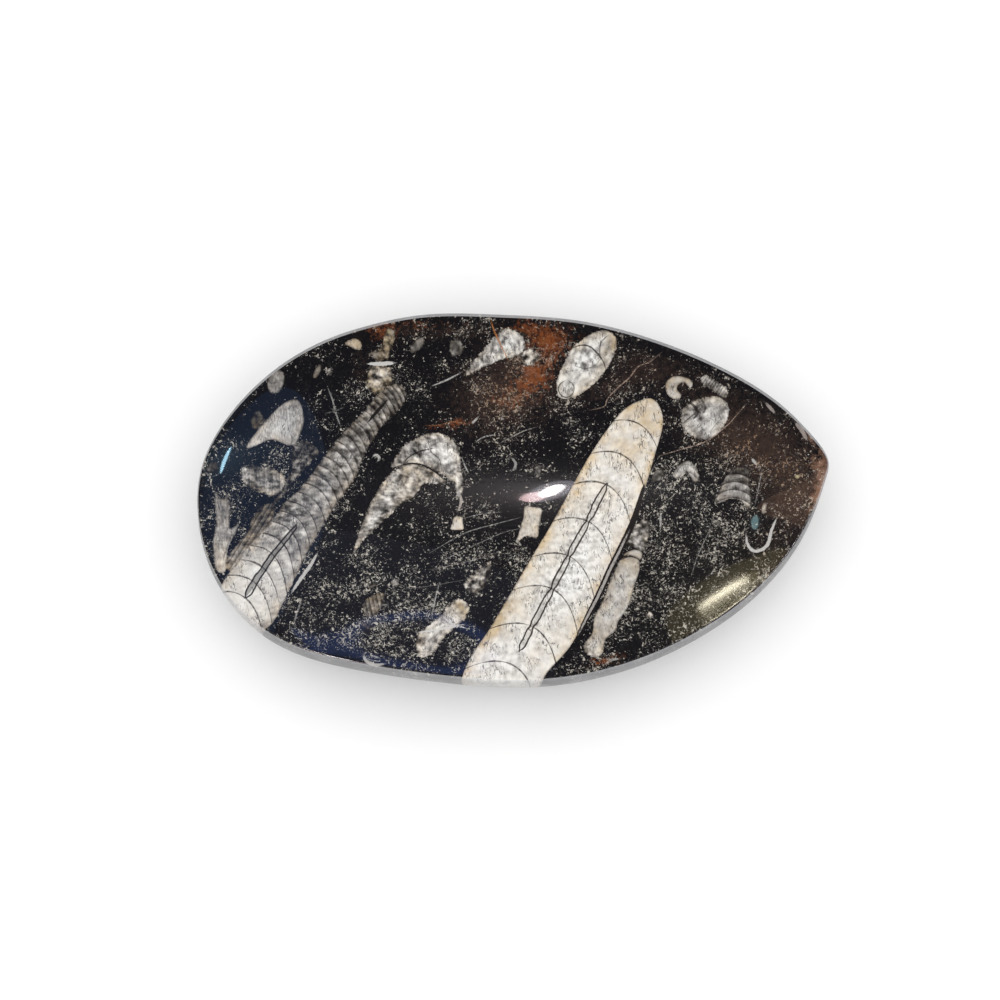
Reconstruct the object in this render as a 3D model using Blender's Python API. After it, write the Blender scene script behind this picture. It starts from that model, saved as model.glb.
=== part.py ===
"""Leaf-shaped shallow dish carved from one slab of black orthoceras limestone.

One solid. The rim's highest edge is the inner edge of a narrow rounded lip;
inside it a smooth bowl falls steeply from the far side and gently from the
near side and the two ends, and narrows to a valley at the point of the leaf.
Outside, the wall bulges down to a smaller flat base. Metres, +Z up, +X towards
the point of the leaf, origin under the middle of the dish on the surface it
rests on.
"""
import bpy
import bmesh
import numpy as np

MM = 0.001

# Driving dimensions, in millimetres
LENGTH = 150.0
WIDTH = 90.0
RIM_HEIGHT = 22.0
HOLLOW_DEPTH = 12.5
FAR_SIDE_LIFT = 22.0       # how strongly the rim holds the bowl up along its steep +Y side
NEAR_SIDE_LIFT = 46.0      # the same along its gentle -Y side
LIP_WIDTH = 1.4            # along the two long sides
LIP_WIDTH_AT_ENDS = 0.6    # at the point and at the round end
LIP_DROP = 4.0
BASE_LENGTH_SHARE = 0.79
BASE_WIDTH_SHARE = 0.64
BASE_EDGE = 1.0            # width of the worn edge round the flat base
BASE_EDGE_HEIGHT = 0.2
WALL_TURN = 55.0           # degrees of its curve the wall runs through before the base cuts it

# The leaf's outline at its widest level, anticlockwise from its point
OUTLINE = [
    (75.0, 8.0), (74.2, 10.8), (71.0, 15.4), (65.2, 21.6), (51.0, 31.3), (34.0, 38.7), (15.0, 43.6),
    (-4.0, 45.0), (-23.0, 44.8), (-33.5, 42.7), (-45.5, 38.6), (-57.5, 31.2), (-67.8, 20.4),
    (-74.0, 8.2), (-74.8, -5.6), (-69.2, -22.0), (-56.5, -34.6), (-37.0, -41.0),
    (-15.0, -44.2), (7.0, -44.9), (26.0, -41.3), (45.0, -32.7), (59.4, -21.6), (70.3, -6.3), (74.2, 4.0),
]

# How finely the surfaces are divided
STEPS_PER_SPAN = 5         # points along the outline between two of its corners
HOLLOW_RINGS = 18
RING_CROWDING = 0.8        # under 1 puts the hollow's rings closer at the rim
LIP_RINGS = 3
WALL_RINGS = 8
NO_DISTANCE = 1e-6         # mm; keeps a point on the rim from dividing by nothing
DEEPEST_SEARCH = 20.0      # mm; the deepest place is looked for this far round the middle
SHARP_ANGLE = 40.0         # degrees; faces that meet more steeply keep a crisp edge

# Polished black limestone
STONE_COLOUR = (0.012, 0.010, 0.011, 1.0)
STONE_ROUGHNESS = 0.12


def closed_curve(corners, steps):
    """Points on the smooth closed cubic curve through the corners."""
    corners = np.array(corners, dtype=float)
    count = len(corners)
    following = np.roll(corners, -1, axis=0)
    spans = np.linalg.norm(following - corners, axis=1)
    matrix = np.zeros((count, count))
    right_side = np.zeros((count, 2))
    for i in range(count):
        before, after = spans[i - 1], spans[i]
        matrix[i, i - 1] = before
        matrix[i, i] = 2.0 * (before + after)
        matrix[i, (i + 1) % count] = after
        bend = (following[i] - corners[i]) / after - (corners[i] - corners[i - 1]) / before
        right_side[i] = 6.0 * bend
    curvature = np.linalg.solve(matrix, right_side)
    points = []
    for i in range(count):
        j = (i + 1) % count
        for step in range(steps):
            gone = spans[i] * step / steps
            left = spans[i] - gone
            cubic = (curvature[i] * left ** 3 + curvature[j] * gone ** 3) / (6.0 * spans[i])
            start = (corners[i] / spans[i] - curvature[i] * spans[i] / 6.0) * left
            end = (corners[j] / spans[i] - curvature[j] * spans[i] / 6.0) * gone
            points.append(cubic + start + end)
    return np.array(points)


def fitted_outline(steps):
    """The outline curve, centred and scaled to the stated length and width."""
    points = closed_curve(OUTLINE, steps)
    low, high = points.min(axis=0), points.max(axis=0)
    return (points - (low + high) / 2.0) * np.array([LENGTH, WIDTH]) / (high - low)


def inward_directions(outline):
    """Unit vectors square to the outline, pointing into the leaf."""
    along = np.roll(outline, -1, axis=0) - np.roll(outline, 1, axis=0)
    inward = np.stack([-along[:, 1], along[:, 0]], axis=1)
    return inward / np.linalg.norm(inward, axis=1)[:, None]


def moved_in(outline, distance):
    """The outline moved inwards by distances much smaller than its bends."""
    return outline + inward_directions(outline) * distance[:, None]


def lip_widths(outline):
    """The lip's width at each point, less where the outline faces along X."""
    facing_ends = inward_directions(outline)[:, 0] ** 4
    return LIP_WIDTH + (LIP_WIDTH_AT_ENDS - LIP_WIDTH) * facing_ends


def rim_lift(edge, points):
    """How strongly the whole rim holds the bowl up at each point inside it.

    Every stretch of the rim counts by the angle it fills, seen from the point,
    over its distance, so the lift is endless on the rim and smooth inside it.
    """
    far_share = 0.5 - 0.5 * inward_directions(edge)[:, 1]
    strength = NEAR_SIDE_LIFT + (FAR_SIDE_LIFT - NEAR_SIDE_LIFT) * far_share
    strength = 0.5 * (strength + np.roll(strength, -1))
    following = np.roll(edge, -1, axis=0)
    length = np.linalg.norm(following - edge, axis=1)
    to_start = edge[None, :, :] - points[:, None, :]
    to_end = following[None, :, :] - points[:, None, :]
    area = np.abs(to_start[..., 0] * to_end[..., 1] - to_start[..., 1] * to_end[..., 0])
    distance = np.maximum(area / length, NO_DISTANCE)
    angle = np.arctan2(distance * length, (to_start * to_end).sum(axis=2))
    return (strength * angle / distance).sum(axis=1)


def depth_share(edge, points):
    """How deep each point lies: 0 on the rim edge, 1 at the deepest place."""
    across = np.arange(-DEEPEST_SEARCH, DEEPEST_SEARCH + 1.0)
    middle = np.stack(np.meshgrid(across, across), axis=-1).reshape(-1, 2)
    return rim_lift(edge, middle).min() / rim_lift(edge, points)


def hollow_rings(edge):
    """Rings from near the middle of the bowl out to the rim edge."""
    rings = []
    for i in range(1, HOLLOW_RINGS + 1):
        flat = edge * (i / HOLLOW_RINGS) ** RING_CROWDING
        height = RIM_HEIGHT - HOLLOW_DEPTH * depth_share(edge, flat)
        rings.append(np.column_stack([flat, height]))
    rings[-1][:, 2] = RIM_HEIGHT
    return rings


def lip_rings(outline):
    """Quarter-round lip from the rim edge down to the widest level."""
    rings = []
    for i in range(1, LIP_RINGS + 1):
        turn = 0.5 * np.pi * i / LIP_RINGS
        inset = lip_widths(outline) * (1.0 - np.sin(turn))
        height = RIM_HEIGHT - LIP_DROP * (1.0 - np.cos(turn))
        flat = moved_in(outline, inset)
        rings.append(np.column_stack([flat, np.full(len(flat), height)]))
    return rings


def wall_rings(outline):
    """Bulging outer wall from the widest level down to the base and its worn edge."""
    base = outline * np.array([BASE_LENGTH_SHARE, BASE_WIDTH_SHARE])
    foot = moved_in(base, np.full(len(base), -BASE_EDGE))
    top = RIM_HEIGHT - LIP_DROP
    last = np.radians(WALL_TURN)
    rings = []
    for i in range(1, WALL_RINGS + 1):
        turn = last * i / WALL_RINGS
        inward_share = (1.0 - np.cos(turn)) / (1.0 - np.cos(last))
        height = top + (BASE_EDGE_HEIGHT - top) * np.sin(turn) / np.sin(last)
        flat = outline + (foot - outline) * inward_share
        rings.append(np.column_stack([flat, np.full(len(flat), height)]))
    for inset in (0.0, BASE_EDGE):
        flat = moved_in(base, np.full(len(base), inset))
        rings.append(np.column_stack([flat, np.zeros(len(flat))]))
    return rings


def add_rings(mesh, rings):
    """Vertices of each ring, and the quads between neighbouring rings."""
    loops = [[mesh.verts.new(point * MM) for point in ring] for ring in rings]
    for inner, outer in zip(loops, loops[1:]):
        for i in range(len(inner)):
            j = (i + 1) % len(inner)
            mesh.faces.new((inner[i], outer[i], outer[j], inner[j]))
    return loops


def close_ring(mesh, loop, height):
    """Fan of triangles from a ring to a point in its middle."""
    centre = mesh.verts.new((0.0, 0.0, height * MM))
    for i in range(len(loop)):
        mesh.faces.new((centre, loop[i], loop[(i + 1) % len(loop)]))


def stone_material():
    """Polished black limestone, the matrix of the dish."""
    material = bpy.data.materials.new("polished black limestone")
    material.use_nodes = True
    shader = material.node_tree.nodes["Principled BSDF"]
    shader.inputs["Base Color"].default_value = STONE_COLOUR
    shader.inputs["Roughness"].default_value = STONE_ROUGHNESS
    shader.inputs["Metallic"].default_value = 0.0
    return material


def build_dish(collection):
    """The dish as one closed solid: hollow, lip, wall and base in one skin."""
    outline = fitted_outline(STEPS_PER_SPAN)
    edge = moved_in(outline, lip_widths(outline))
    rings = hollow_rings(edge) + lip_rings(outline) + wall_rings(outline)
    mesh = bmesh.new()
    loops = add_rings(mesh, rings)
    middle = depth_share(edge, np.zeros((1, 2)))[0]
    close_ring(mesh, loops[0], RIM_HEIGHT - HOLLOW_DEPTH * middle)
    close_ring(mesh, loops[-1], 0.0)
    bmesh.ops.recalc_face_normals(mesh, faces=mesh.faces)
    bmesh.ops.triangulate(mesh, faces=mesh.faces)
    data = bpy.data.meshes.new("dish")
    mesh.to_mesh(data)
    mesh.free()
    data.shade_smooth()
    data.set_sharp_from_angle(angle=np.radians(SHARP_ANGLE))
    data.materials.append(stone_material())
    dish = bpy.data.objects.new("dish", data)
    collection.objects.link(dish)
    return dish


def main():
    """Clear the scene and build the dish in its own collection."""
    for item in list(bpy.data.objects):
        bpy.data.objects.remove(item)
    collection = bpy.data.collections.new("orthoceras dish")
    bpy.context.scene.collection.children.link(collection)
    build_dish(collection)


main()
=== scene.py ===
"""Looks of a shallow leaf-shaped dish carved from black orthoceras limestone.

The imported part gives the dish's place and size. This script makes the polished
hollow with its fossils, the honed lip and outside, and a pale studio round it.
Lengths are millimetres unless a name says otherwise; Blender gets metres.
"""

import math

import bpy
import numpy as np
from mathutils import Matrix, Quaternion, Vector


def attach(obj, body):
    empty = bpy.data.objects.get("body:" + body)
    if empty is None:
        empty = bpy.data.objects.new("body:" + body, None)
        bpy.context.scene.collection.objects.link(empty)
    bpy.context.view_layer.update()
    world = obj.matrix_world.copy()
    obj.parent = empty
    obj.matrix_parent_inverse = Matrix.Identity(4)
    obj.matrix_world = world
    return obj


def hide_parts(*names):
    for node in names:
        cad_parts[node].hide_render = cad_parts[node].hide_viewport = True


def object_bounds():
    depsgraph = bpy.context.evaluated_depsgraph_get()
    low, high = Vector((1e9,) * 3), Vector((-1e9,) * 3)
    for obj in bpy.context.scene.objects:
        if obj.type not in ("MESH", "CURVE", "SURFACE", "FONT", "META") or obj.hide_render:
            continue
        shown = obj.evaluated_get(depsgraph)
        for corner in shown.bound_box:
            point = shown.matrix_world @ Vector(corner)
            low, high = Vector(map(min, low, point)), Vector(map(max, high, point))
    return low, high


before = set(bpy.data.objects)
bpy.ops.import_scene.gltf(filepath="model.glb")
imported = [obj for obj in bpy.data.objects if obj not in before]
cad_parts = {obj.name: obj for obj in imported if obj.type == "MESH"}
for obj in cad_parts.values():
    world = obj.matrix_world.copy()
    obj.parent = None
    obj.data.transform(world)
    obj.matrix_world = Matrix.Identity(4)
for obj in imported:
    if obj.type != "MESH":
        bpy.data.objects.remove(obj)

bl_info = {
    "name": "Orthoceras limestone dish",
    "version": (1, 0, 0),
    "blender": (4, 5, 0),
    "location": "View3D > Sidebar > Dish",
    "description": "Carves a dish of fossil limestone and sets up a pale studio for it",
    "category": "Object",
}

MM = 0.001
CAD_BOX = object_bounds()
CAD_SIZE = [(high - low) / MM for low, high in zip(*CAD_BOX)]

# The leaf's outline at its widest level, anticlockwise from its point
OUTLINE = [
    (75.0, 8.0), (74.2, 10.8), (71.0, 15.4), (65.2, 21.6), (51.0, 31.3), (34.0, 38.7), (15.0, 43.6),
    (-4.0, 45.0), (-23.0, 44.8), (-33.5, 42.7), (-45.5, 38.6), (-57.5, 31.2), (-67.8, 20.4),
    (-74.0, 8.2), (-74.8, -5.6), (-69.2, -22.0), (-56.5, -34.6), (-37.0, -41.0),
    (-15.0, -44.2), (7.0, -44.9), (26.0, -41.3), (45.0, -32.7), (59.4, -21.6), (70.3, -6.3), (74.2, 4.0),
]
LIP_WIDTH = 1.4
LIP_WIDTH_AT_ENDS = 0.6
FAR_SIDE_LIFT = 22.0       # how strongly the rim holds the bowl up along its steep +Y side
NEAR_SIDE_LIFT = 46.0      # the same along its gentle -Y side
BASE_LENGTH_SHARE = 0.79
BASE_WIDTH_SHARE = 0.64
WALL_TURN = math.radians(55.0)  # how much of its curve the wall runs through before the base

# How finely the skin is divided; a ring's points halve where it has shrunk to half
STEPS_PER_SPAN = 32
HOLLOW_RINGS = 132
LIP_RINGS = 5
WALL_RINGS = 16
BASE_RINGS = 24
HOLLOW, LIP, WALL, BASE = 0, 1, 2, 3
NO_DISTANCE = 1e-6         # keeps a point on the rim from dividing by nothing
DEEPEST_SEARCH = 20.0      # the deepest place is looked for this far round the middle

COARSEST_SKIP = 8          # a ring keeps at least one outline point in this many
RIM_SKIP = 4               # every fourth point of the rim is enough to find the bowl's depth
POINTS_AT_ONCE = 2000      # points worked on together, so that the tables stay small

# How the marks are laid on the skin
FAR_AWAY = 9.0             # a distance that no mark on the stone reaches
FOSSIL_STEPS = 4           # points between two corners of a fossil's outline
OVAL_POINTS = 20
OVAL_UNEVENNESS = (0.06, 0.05)  # of its two and of its three swells
RING_POINTS = 9
MARK_MARGIN = 3.0          # how far past its outline a fossil's numbers are kept
SECTION_ROUNDNESS = 0.35   # a buried fossil's radius, as a share of its box's smaller side
RIB_COUNT_START = 20.0     # keeps a count of ribs above nothing on both sides of the middle
LINE_MARGIN = 1.5          # how far past a thin line's half width its points are looked for
LINE_THINNEST = 0.25       # a thin line's width at its ends, as a share of its middle's
LINE_END_FADE = 0.3
LINE_REACH = 0.6           # how far past its half width a thin line's strength is kept
LINE_SIDE_FADE = 0.25
LINE_DEPTH = 2.0           # how far down the outside a thin line still shows
BARE_GRAIN = 0.16          # shell debris where no spot adds any or takes it away
GRAIN_RANGE = (-0.4, 1.0)
MOST_STAIN = 1.3

# What each vector that the skin carries holds
MARKS = {
    "fossil": ("edge", "chamber", "gap"),
    "calcite": ("tone", "warmth", "mottle"),
    "ribs": ("darkening", "wall strength", "streaks"),
    "tube": ("tube side", "tube half", "vein tint"),
    "pale line": ("pale side", "pale half", "pale power"),
    "dark line": ("dark side", "dark half", "dark power"),
    # the tan is partly painted light, on the point's lit lower wall
    "stain": ("rust", "brown", "tan"),
}


# ---------------------------------------------------------------- fossils
def ring(x, y, radius, start=0.0, sweep=360.0):
    """Points round part of a circle, anticlockwise from a starting angle in degrees."""
    angles = np.radians(np.linspace(start, start + sweep, RING_POINTS))
    return list(zip(x + radius * np.cos(angles), y + radius * np.sin(angles)))


# Each: name, tone (0 dark to 1 white), warmth, mottle, streaks, outline corners. They are
# cut through by the hollow, so an outline is what shows on the polished face.
FOSSILS = [
    ("big orthocone", 0.90, 0.45, 0.10, 0.20, [
        (33.5, 24.8), (30.7, 24.5), (27.5, 23.0), (24.2, 19.7), (19.2, 12.7), (15.3, 6.0),
        (9.4, -4.9), (5.7, -11.3), (1.3, -19.0), (-2.6, -26.0), (-5.9, -31.7), (-9.5, -37.3),
        (-11.3, -41.0), (-12.5, -46.0), (-10.0, -54.0), (1.0, -55.0), (6.0, -46.0),
        (7.2, -42.7), (10.8, -38.5), (13.8, -34.7), (16.3, -29.9), (20.1, -21.8),
        (24.5, -12.8), (29.1, -3.4), (32.4, 5.3), (35.2, 14.7), (36.2, 18.9), (35.5, 22.7)]),
    ("left orthocone", 0.48, 0.18, 0.32, 0.20, [
        (-26.9, 28.3), (-29.4, 28.7), (-34.0, 24.7), (-37.7, 20.6), (-41.5, 16.5),
        (-44.5, 12.8), (-47.6, 8.2), (-51.5, 2.8), (-55.3, -1.4), (-57.2, -4.5),
        (-60.9, -8.7), (-64.5, -14.1), (-67.1, -18.8), (-70.0, -25.0), (-71.0, -33.0),
        (-64.0, -40.0), (-60.0, -36.0), (-58.0, -32.0), (-56.1, -29.8), (-54.4, -25.6),
        (-52.2, -20.4), (-49.9, -14.6), (-47.6, -9.8), (-45.2, -5.1), (-43.0, -1.3),
        (-40.5, 2.6), (-38.0, 6.6), (-36.1, 11.6), (-33.6, 16.1), (-30.0, 20.7), (-26.2, 25.3)]),
    ("spindle", 0.64, 0.34, 0.15, 0.35, [
        (25.5, -14.4), (27.4, -13.6), (29.7, -14.2), (30.1, -15.6), (29.1, -19.5), (27.7, -24.1),
        (25.7, -28.0), (24.4, -30.0), (23.9, -31.8), (22.5, -32.9), (21.1, -35.2), (20.8, -37.1),
        (19.0, -38.4), (17.6, -37.8), (16.4, -36.4), (16.9, -34.5), (18.4, -32.6), (18.9, -29.3),
        (21.1, -24.7), (22.8, -20.1), (24.6, -16.1)]),
    ("spindle ring", 0.66, 0.5, 0.05, 0.0, [
        (26.1, -13.4), (28.2, -12.0), (30.7, -12.7), (30.4, -14.2), (27.9, -13.2)]),
    ("spindle top", 0.40, 0.1, 0.55, 0.3, [
        (28.3, -7.1), (30.9, -4.3), (32.6, -4.6), (32.2, -9.1), (31.1, -12.2), (28.8, -11.4),
        (27.3, -10.7)]),
    ("top white", 0.78, 0.18, 0.30, 0.12, [
        (19.6, 39.9), (22.3, 40.1), (24.5, 38.7), (24.8, 36.8), (24.0, 34.3), (21.9, 30.9),
        (19.2, 28.4), (15.3, 25.9), (13.1, 25.3), (11.1, 25.9), (10.6, 27.5), (10.8, 30.1),
        (12.5, 33.7), (14.1, 36.4), (16.3, 38.2)]),
    ("arch", 0.58, 0.08, 0.40, 0.40, [
        (-29.6, 9.0), (-28.2, 11.8), (-26.4, 14.4), (-22.8, 16.4), (-19.8, 17.3),
        (-16.7, 17.0), (-14.2, 15.0), (-13.1, 12.0), (-12.7, 8.8), (-12.2, 5.7), (-12.4, 1.9),
        (-12.7, 0.3), (-13.4, 1.1), (-14.1, 4.2), (-15.9, 6.5), (-18.8, 8.1), (-21.7, 9.5),
        (-25.1, 9.5), (-27.5, 9.0)]),
    ("tongue", 0.56, 0.25, 0.42, 0.12, [
        (-27.4, 8.9), (-24.6, 9.8), (-21.3, 9.1), (-18.2, 7.3), (-16.4, 5.1), (-18.8, 4.9),
        (-21.8, 5.1), (-22.8, 3.5), (-24.6, 1.4), (-27.0, 0.0), (-28.7, -2.1), (-31.3, -4.3),
        (-33.3, -6.9), (-36.2, -9.6), (-38.7, -13.9), (-38.1, -11.1), (-36.3, -5.3),
        (-34.4, -0.1), (-32.4, 3.6), (-30.1, 7.0)]),
    ("arch foot", 0.80, 0.55, 0.08, 0.1, [
        (-14.3, -3.4), (-13.4, -3.2), (-12.5, -3.4), (-12.2, -4.8), (-12.0, -6.4), (-13.5, -6.6),
        (-15.1, -6.5), (-14.7, -5.0)]),
    ("striped cap", 0.66, 0.05, 0.50, 0.5, [
        (-11.6, 30.8), (-9.8, 33.7), (-7.0, 36.8), (-4.4, 39.4), (-1.6, 41.0), (0.8, 40.4),
        (2.8, 38.3), (1.6, 35.4), (-1.8, 34.7), (-4.9, 33.6), (-8.0, 32.2)]),
    ("shaft", 0.46, 1.0, 0.50, 0.5, [
        (-30.2, 40.6), (-28.6, 40.5), (-29.2, 37.1), (-30.6, 34.2), (-33.4, 33.9), (-34.8, 35.2),
        (-32.3, 36.2), (-31.1, 38.3)]),
    ("shaft foot", 0.58, 0.7, 0.60, 0.3, [
        (-34.7, 32.2), (-29.9, 32.4), (-29.2, 30.1), (-30.4, 28.2), (-33.2, 26.4), (-35.4, 28.4),
        (-35.1, 30.9)]),
    ("rim patch", 0.70, 0.6, 0.2, 0.2, [
        (-40.6, 37.1), (-39.3, 37.9), (-37.8, 38.3), (-36.4, 37.2), (-37.1, 35.9), (-39.0, 36.5)]),
    ("wing", 0.52, 0.0, 0.10, 0.95, [
        (-63.8, 11.9), (-61.4, 16.1), (-57.4, 20.9), (-53.9, 23.7), (-51.8, 24.0), (-50.8, 21.9),
        (-50.5, 19.0), (-51.6, 15.5), (-52.8, 13.4), (-55.0, 13.5), (-57.4, 14.4), (-60.3, 13.5)]),
    ("half disc", 0.46, 0.3, 0.50, 0.35, [
        (-65.1, 7.1), (-62.3, 7.9), (-57.4, 7.4), (-54.7, 5.3), (-54.9, 3.2), (-56.8, 1.1),
        (-60.7, 1.6), (-63.9, 3.2)]),
    ("grey mix", 0.24, 0.2, 0.55, 0.4, [
        (-53.0, 13.0), (-50.6, 14.6), (-48.4, 13.9), (-46.9, 12.2), (-48.6, 9.6), (-51.3, 6.5),
        (-53.6, 3.6), (-56.1, -0.1), (-57.1, -0.7), (-55.2, 2.8), (-54.2, 5.5), (-53.2, 9.3)]),
    ("split shells", 0.30, 0.6, 0.40, 0.2, [
        (-57.7, -0.9), (-61.1, -3.0), (-62.9, -7.2), (-65.4, -11.4), (-67.3, -17.7),
        (-66.3, -17.6), (-63.4, -13.2), (-60.4, -9.2), (-57.3, -5.4)]),
    ("flame", 0.42, 0.0, 0.26, 0.8, [
        (-70.6, 2.4), (-69.7, -0.2), (-68.7, -0.4), (-68.2, 2.6), (-67.5, -0.6), (-67.2, -4.6),
        (-66.9, -7.6), (-65.3, -6.2), (-65.9, -8.8), (-67.2, -11.6), (-67.5, -15.2), (-68.2, -18.5),
        (-69.2, -18.4), (-70.3, -15.4), (-70.9, -11.5), (-70.4, -8.0), (-70.5, -3.8), (-70.9, -0.6)]),
    ("crescent", 0.72, 0.45, 0.12, 0.15, [
        (36.8, 28.2), (37.9, 29.3), (39.5, 29.6), (41.5, 29.1), (43.1, 27.7), (42.6, 26.8),
        (41.5, 27.9), (39.8, 27.8), (39.5, 26.4), (40.4, 25.5), (40.2, 24.6), (38.4, 24.7),
        (37.0, 26.1)]),
    ("comb", 0.64, 0.0, 0.50, 0.2, [
        (44.9, 28.3), (45.6, 29.3), (48.7, 27.7), (51.5, 25.5), (51.2, 24.4), (47.9, 26.1)]),
    ("arrowhead", 0.66, 0.0, 0.22, 0.5, [
        (38.7, 6.0), (39.6, 8.4), (41.9, 9.8), (43.7, 8.8), (44.3, 4.6), (43.0, 5.4), (41.9, 7.4),
        (40.5, 5.9)]),
    ("banded cone", 0.52, 0.10, 0.25, 0.5, [
        (52.6, 7.4), (56.1, 7.9), (56.5, 3.8), (56.1, -2.2), (54.3, -0.4), (51.4, 0.1),
        (48.4, -1.0), (49.8, 2.9)]),
    ("slab", 0.74, 0.30, 0.12, 0.45, [
        (2.9, -0.6), (4.9, -0.9), (6.9, -1.4), (6.8, -2.6), (6.5, -4.5), (6.1, -6.6), (5.7, -8.5),
        (4.4, -8.3), (3.0, -8.2), (1.7, -9.1), (0.5, -10.3), (1.0, -8.5),
        (1.6, -6.6), (2.2, -4.6), (2.6, -2.6)]),
    ("lump", 0.62, 0.25, 0.45, 0.4, [
        (-22.6, -32.9), (-18.7, -29.4), (-15.9, -26.2), (-12.9, -23.9), (-10.6, -25.5),
        (-11.4, -28.6), (-13.8, -30.9), (-16.7, -34.0), (-19.6, -37.7), (-21.6, -38.3),
        (-22.6, -36.3)]),
    ("lump tail", 0.34, 0.2, 0.60, 0.3, [
        (-11.4, -20.4), (-9.4, -17.3), (-5.4, -14.7), (-5.7, -18.8), (-8.2, -22.2), (-10.6, -22.8)]),
    ("ribbed block", 0.48, 1.0, 0.35, 0.3, [
        (-35.2, -24.3), (-33.3, -23.2), (-30.6, -22.4), (-31.3, -25.8), (-32.1, -27.8),
        (-34.6, -28.4)]),
    ("block foot", 0.24, 0.8, 0.60, 0.2, [(-35.5, -30.0), (-33.4, -30.4), (-34.2, -32.5), (-35.9, -32.1)]),
]

# Chambers or ribs of some fossils: direction they follow each other in, degrees; length of
# one; how far its wall bends back, per mm; how much it darkens; strength of its wall
RIBS = {
    "half disc": (2.0, 1.75, 0.0, 0.38, 0.2),
    "comb": (-33.0, 0.66, 0.0, 0.60, 0.0),
    "banded cone": (-97.0, 1.95, 0.10, 0.80, 0.35),
    "striped cap": (8.0, 1.15, 0.0, 0.34, 0.0),
    "ribbed block": (14.0, 0.95, 0.0, 0.70, 0.2),
    "split shells": (-28.0, 1.05, 0.0, 0.55, 0.3),
    "shaft foot": (-80.0, 2.1, 0.0, 0.35, 0.2),
    "arrowhead": (-84.0, 1.9, 0.35, 0.50, 0.0),
    "grey mix": (-30.0, 1.3, 0.0, 0.35, 0.3),
}

# Round and oval sections: middle x and y, half length, half width, turn in degrees, tone,
# warmth, mottle, streaks
OVALS = [
    (46.2, 20.0, 5.4, 5.1, 30, 0.60, 0.05, 0.34, 0.35),
    (-23.2, 37.4, 2.2, 1.1, 45, 0.34, 0.1, 0.20, 0.5),
    (-13.8, 36.9, 2.0, 1.6, 70, 0.33, 0.0, 0.30, 0.4),
    (-47.1, 30.7, 1.8, 0.6, 65, 0.42, 0.4, 0.2, 0.2),
    (-56.8, 27.7, 2.9, 1.8, 60, 0.46, 0.0, 0.20, 0.5),
    (-61.3, 18.7, 2.1, 1.4, 70, 0.16, 0.6, 0.25, 0.2),
    (-44.3, 30.8, 0.9, 0.7, 40, 0.45, 0.2, 0.5, 0.2),
    (35.0, 6.5, 2.0, 1.2, 60, 0.28, 0.0, 0.35, 0.3),
    (59.6, -2.5, 1.6, 0.5, 80, 0.62, 0.0, 0.2, 0.3),
    (-28.2, -20.0, 1.0, 0.9, 0, 0.44, 0.1, 0.5, 0.2),
    (-33.6, -20.6, 0.9, 0.7, 20, 0.36, 0.3, 0.5, 0.2),
    (-10.9, -20.9, 1.2, 0.7, 130, 0.90, 0.0, 0.2, 0.1),
    (32.0, -28.2, 0.9, 0.7, 100, 0.60, 0.0, 0.5, 0.2),
    (4.0, 34.9, 2.0, 1.6, 30, 0.52, 0.2, 0.75, 0.5),
    (-71.4, 6.7, 1.7, 1.3, 60, 0.14, 0.4, 0.4, 0.2),
    (6.0, 8.2, 0.8, 1.9, 5, 0.30, 0.0, 0.4, 0.4),
]

# The gap between the big orthocone and the spindle: dark, with crumbs of mud in it
GAP_LINE = [
    (31.6, 4.0), (29.6, -2.6), (27.8, -7.1), (25.3, -12.3), (23.2, -16.4), (21.5, -20.2),
    (19.6, -24.2), (17.5, -28.2), (15.2, -32.7),
]
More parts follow.
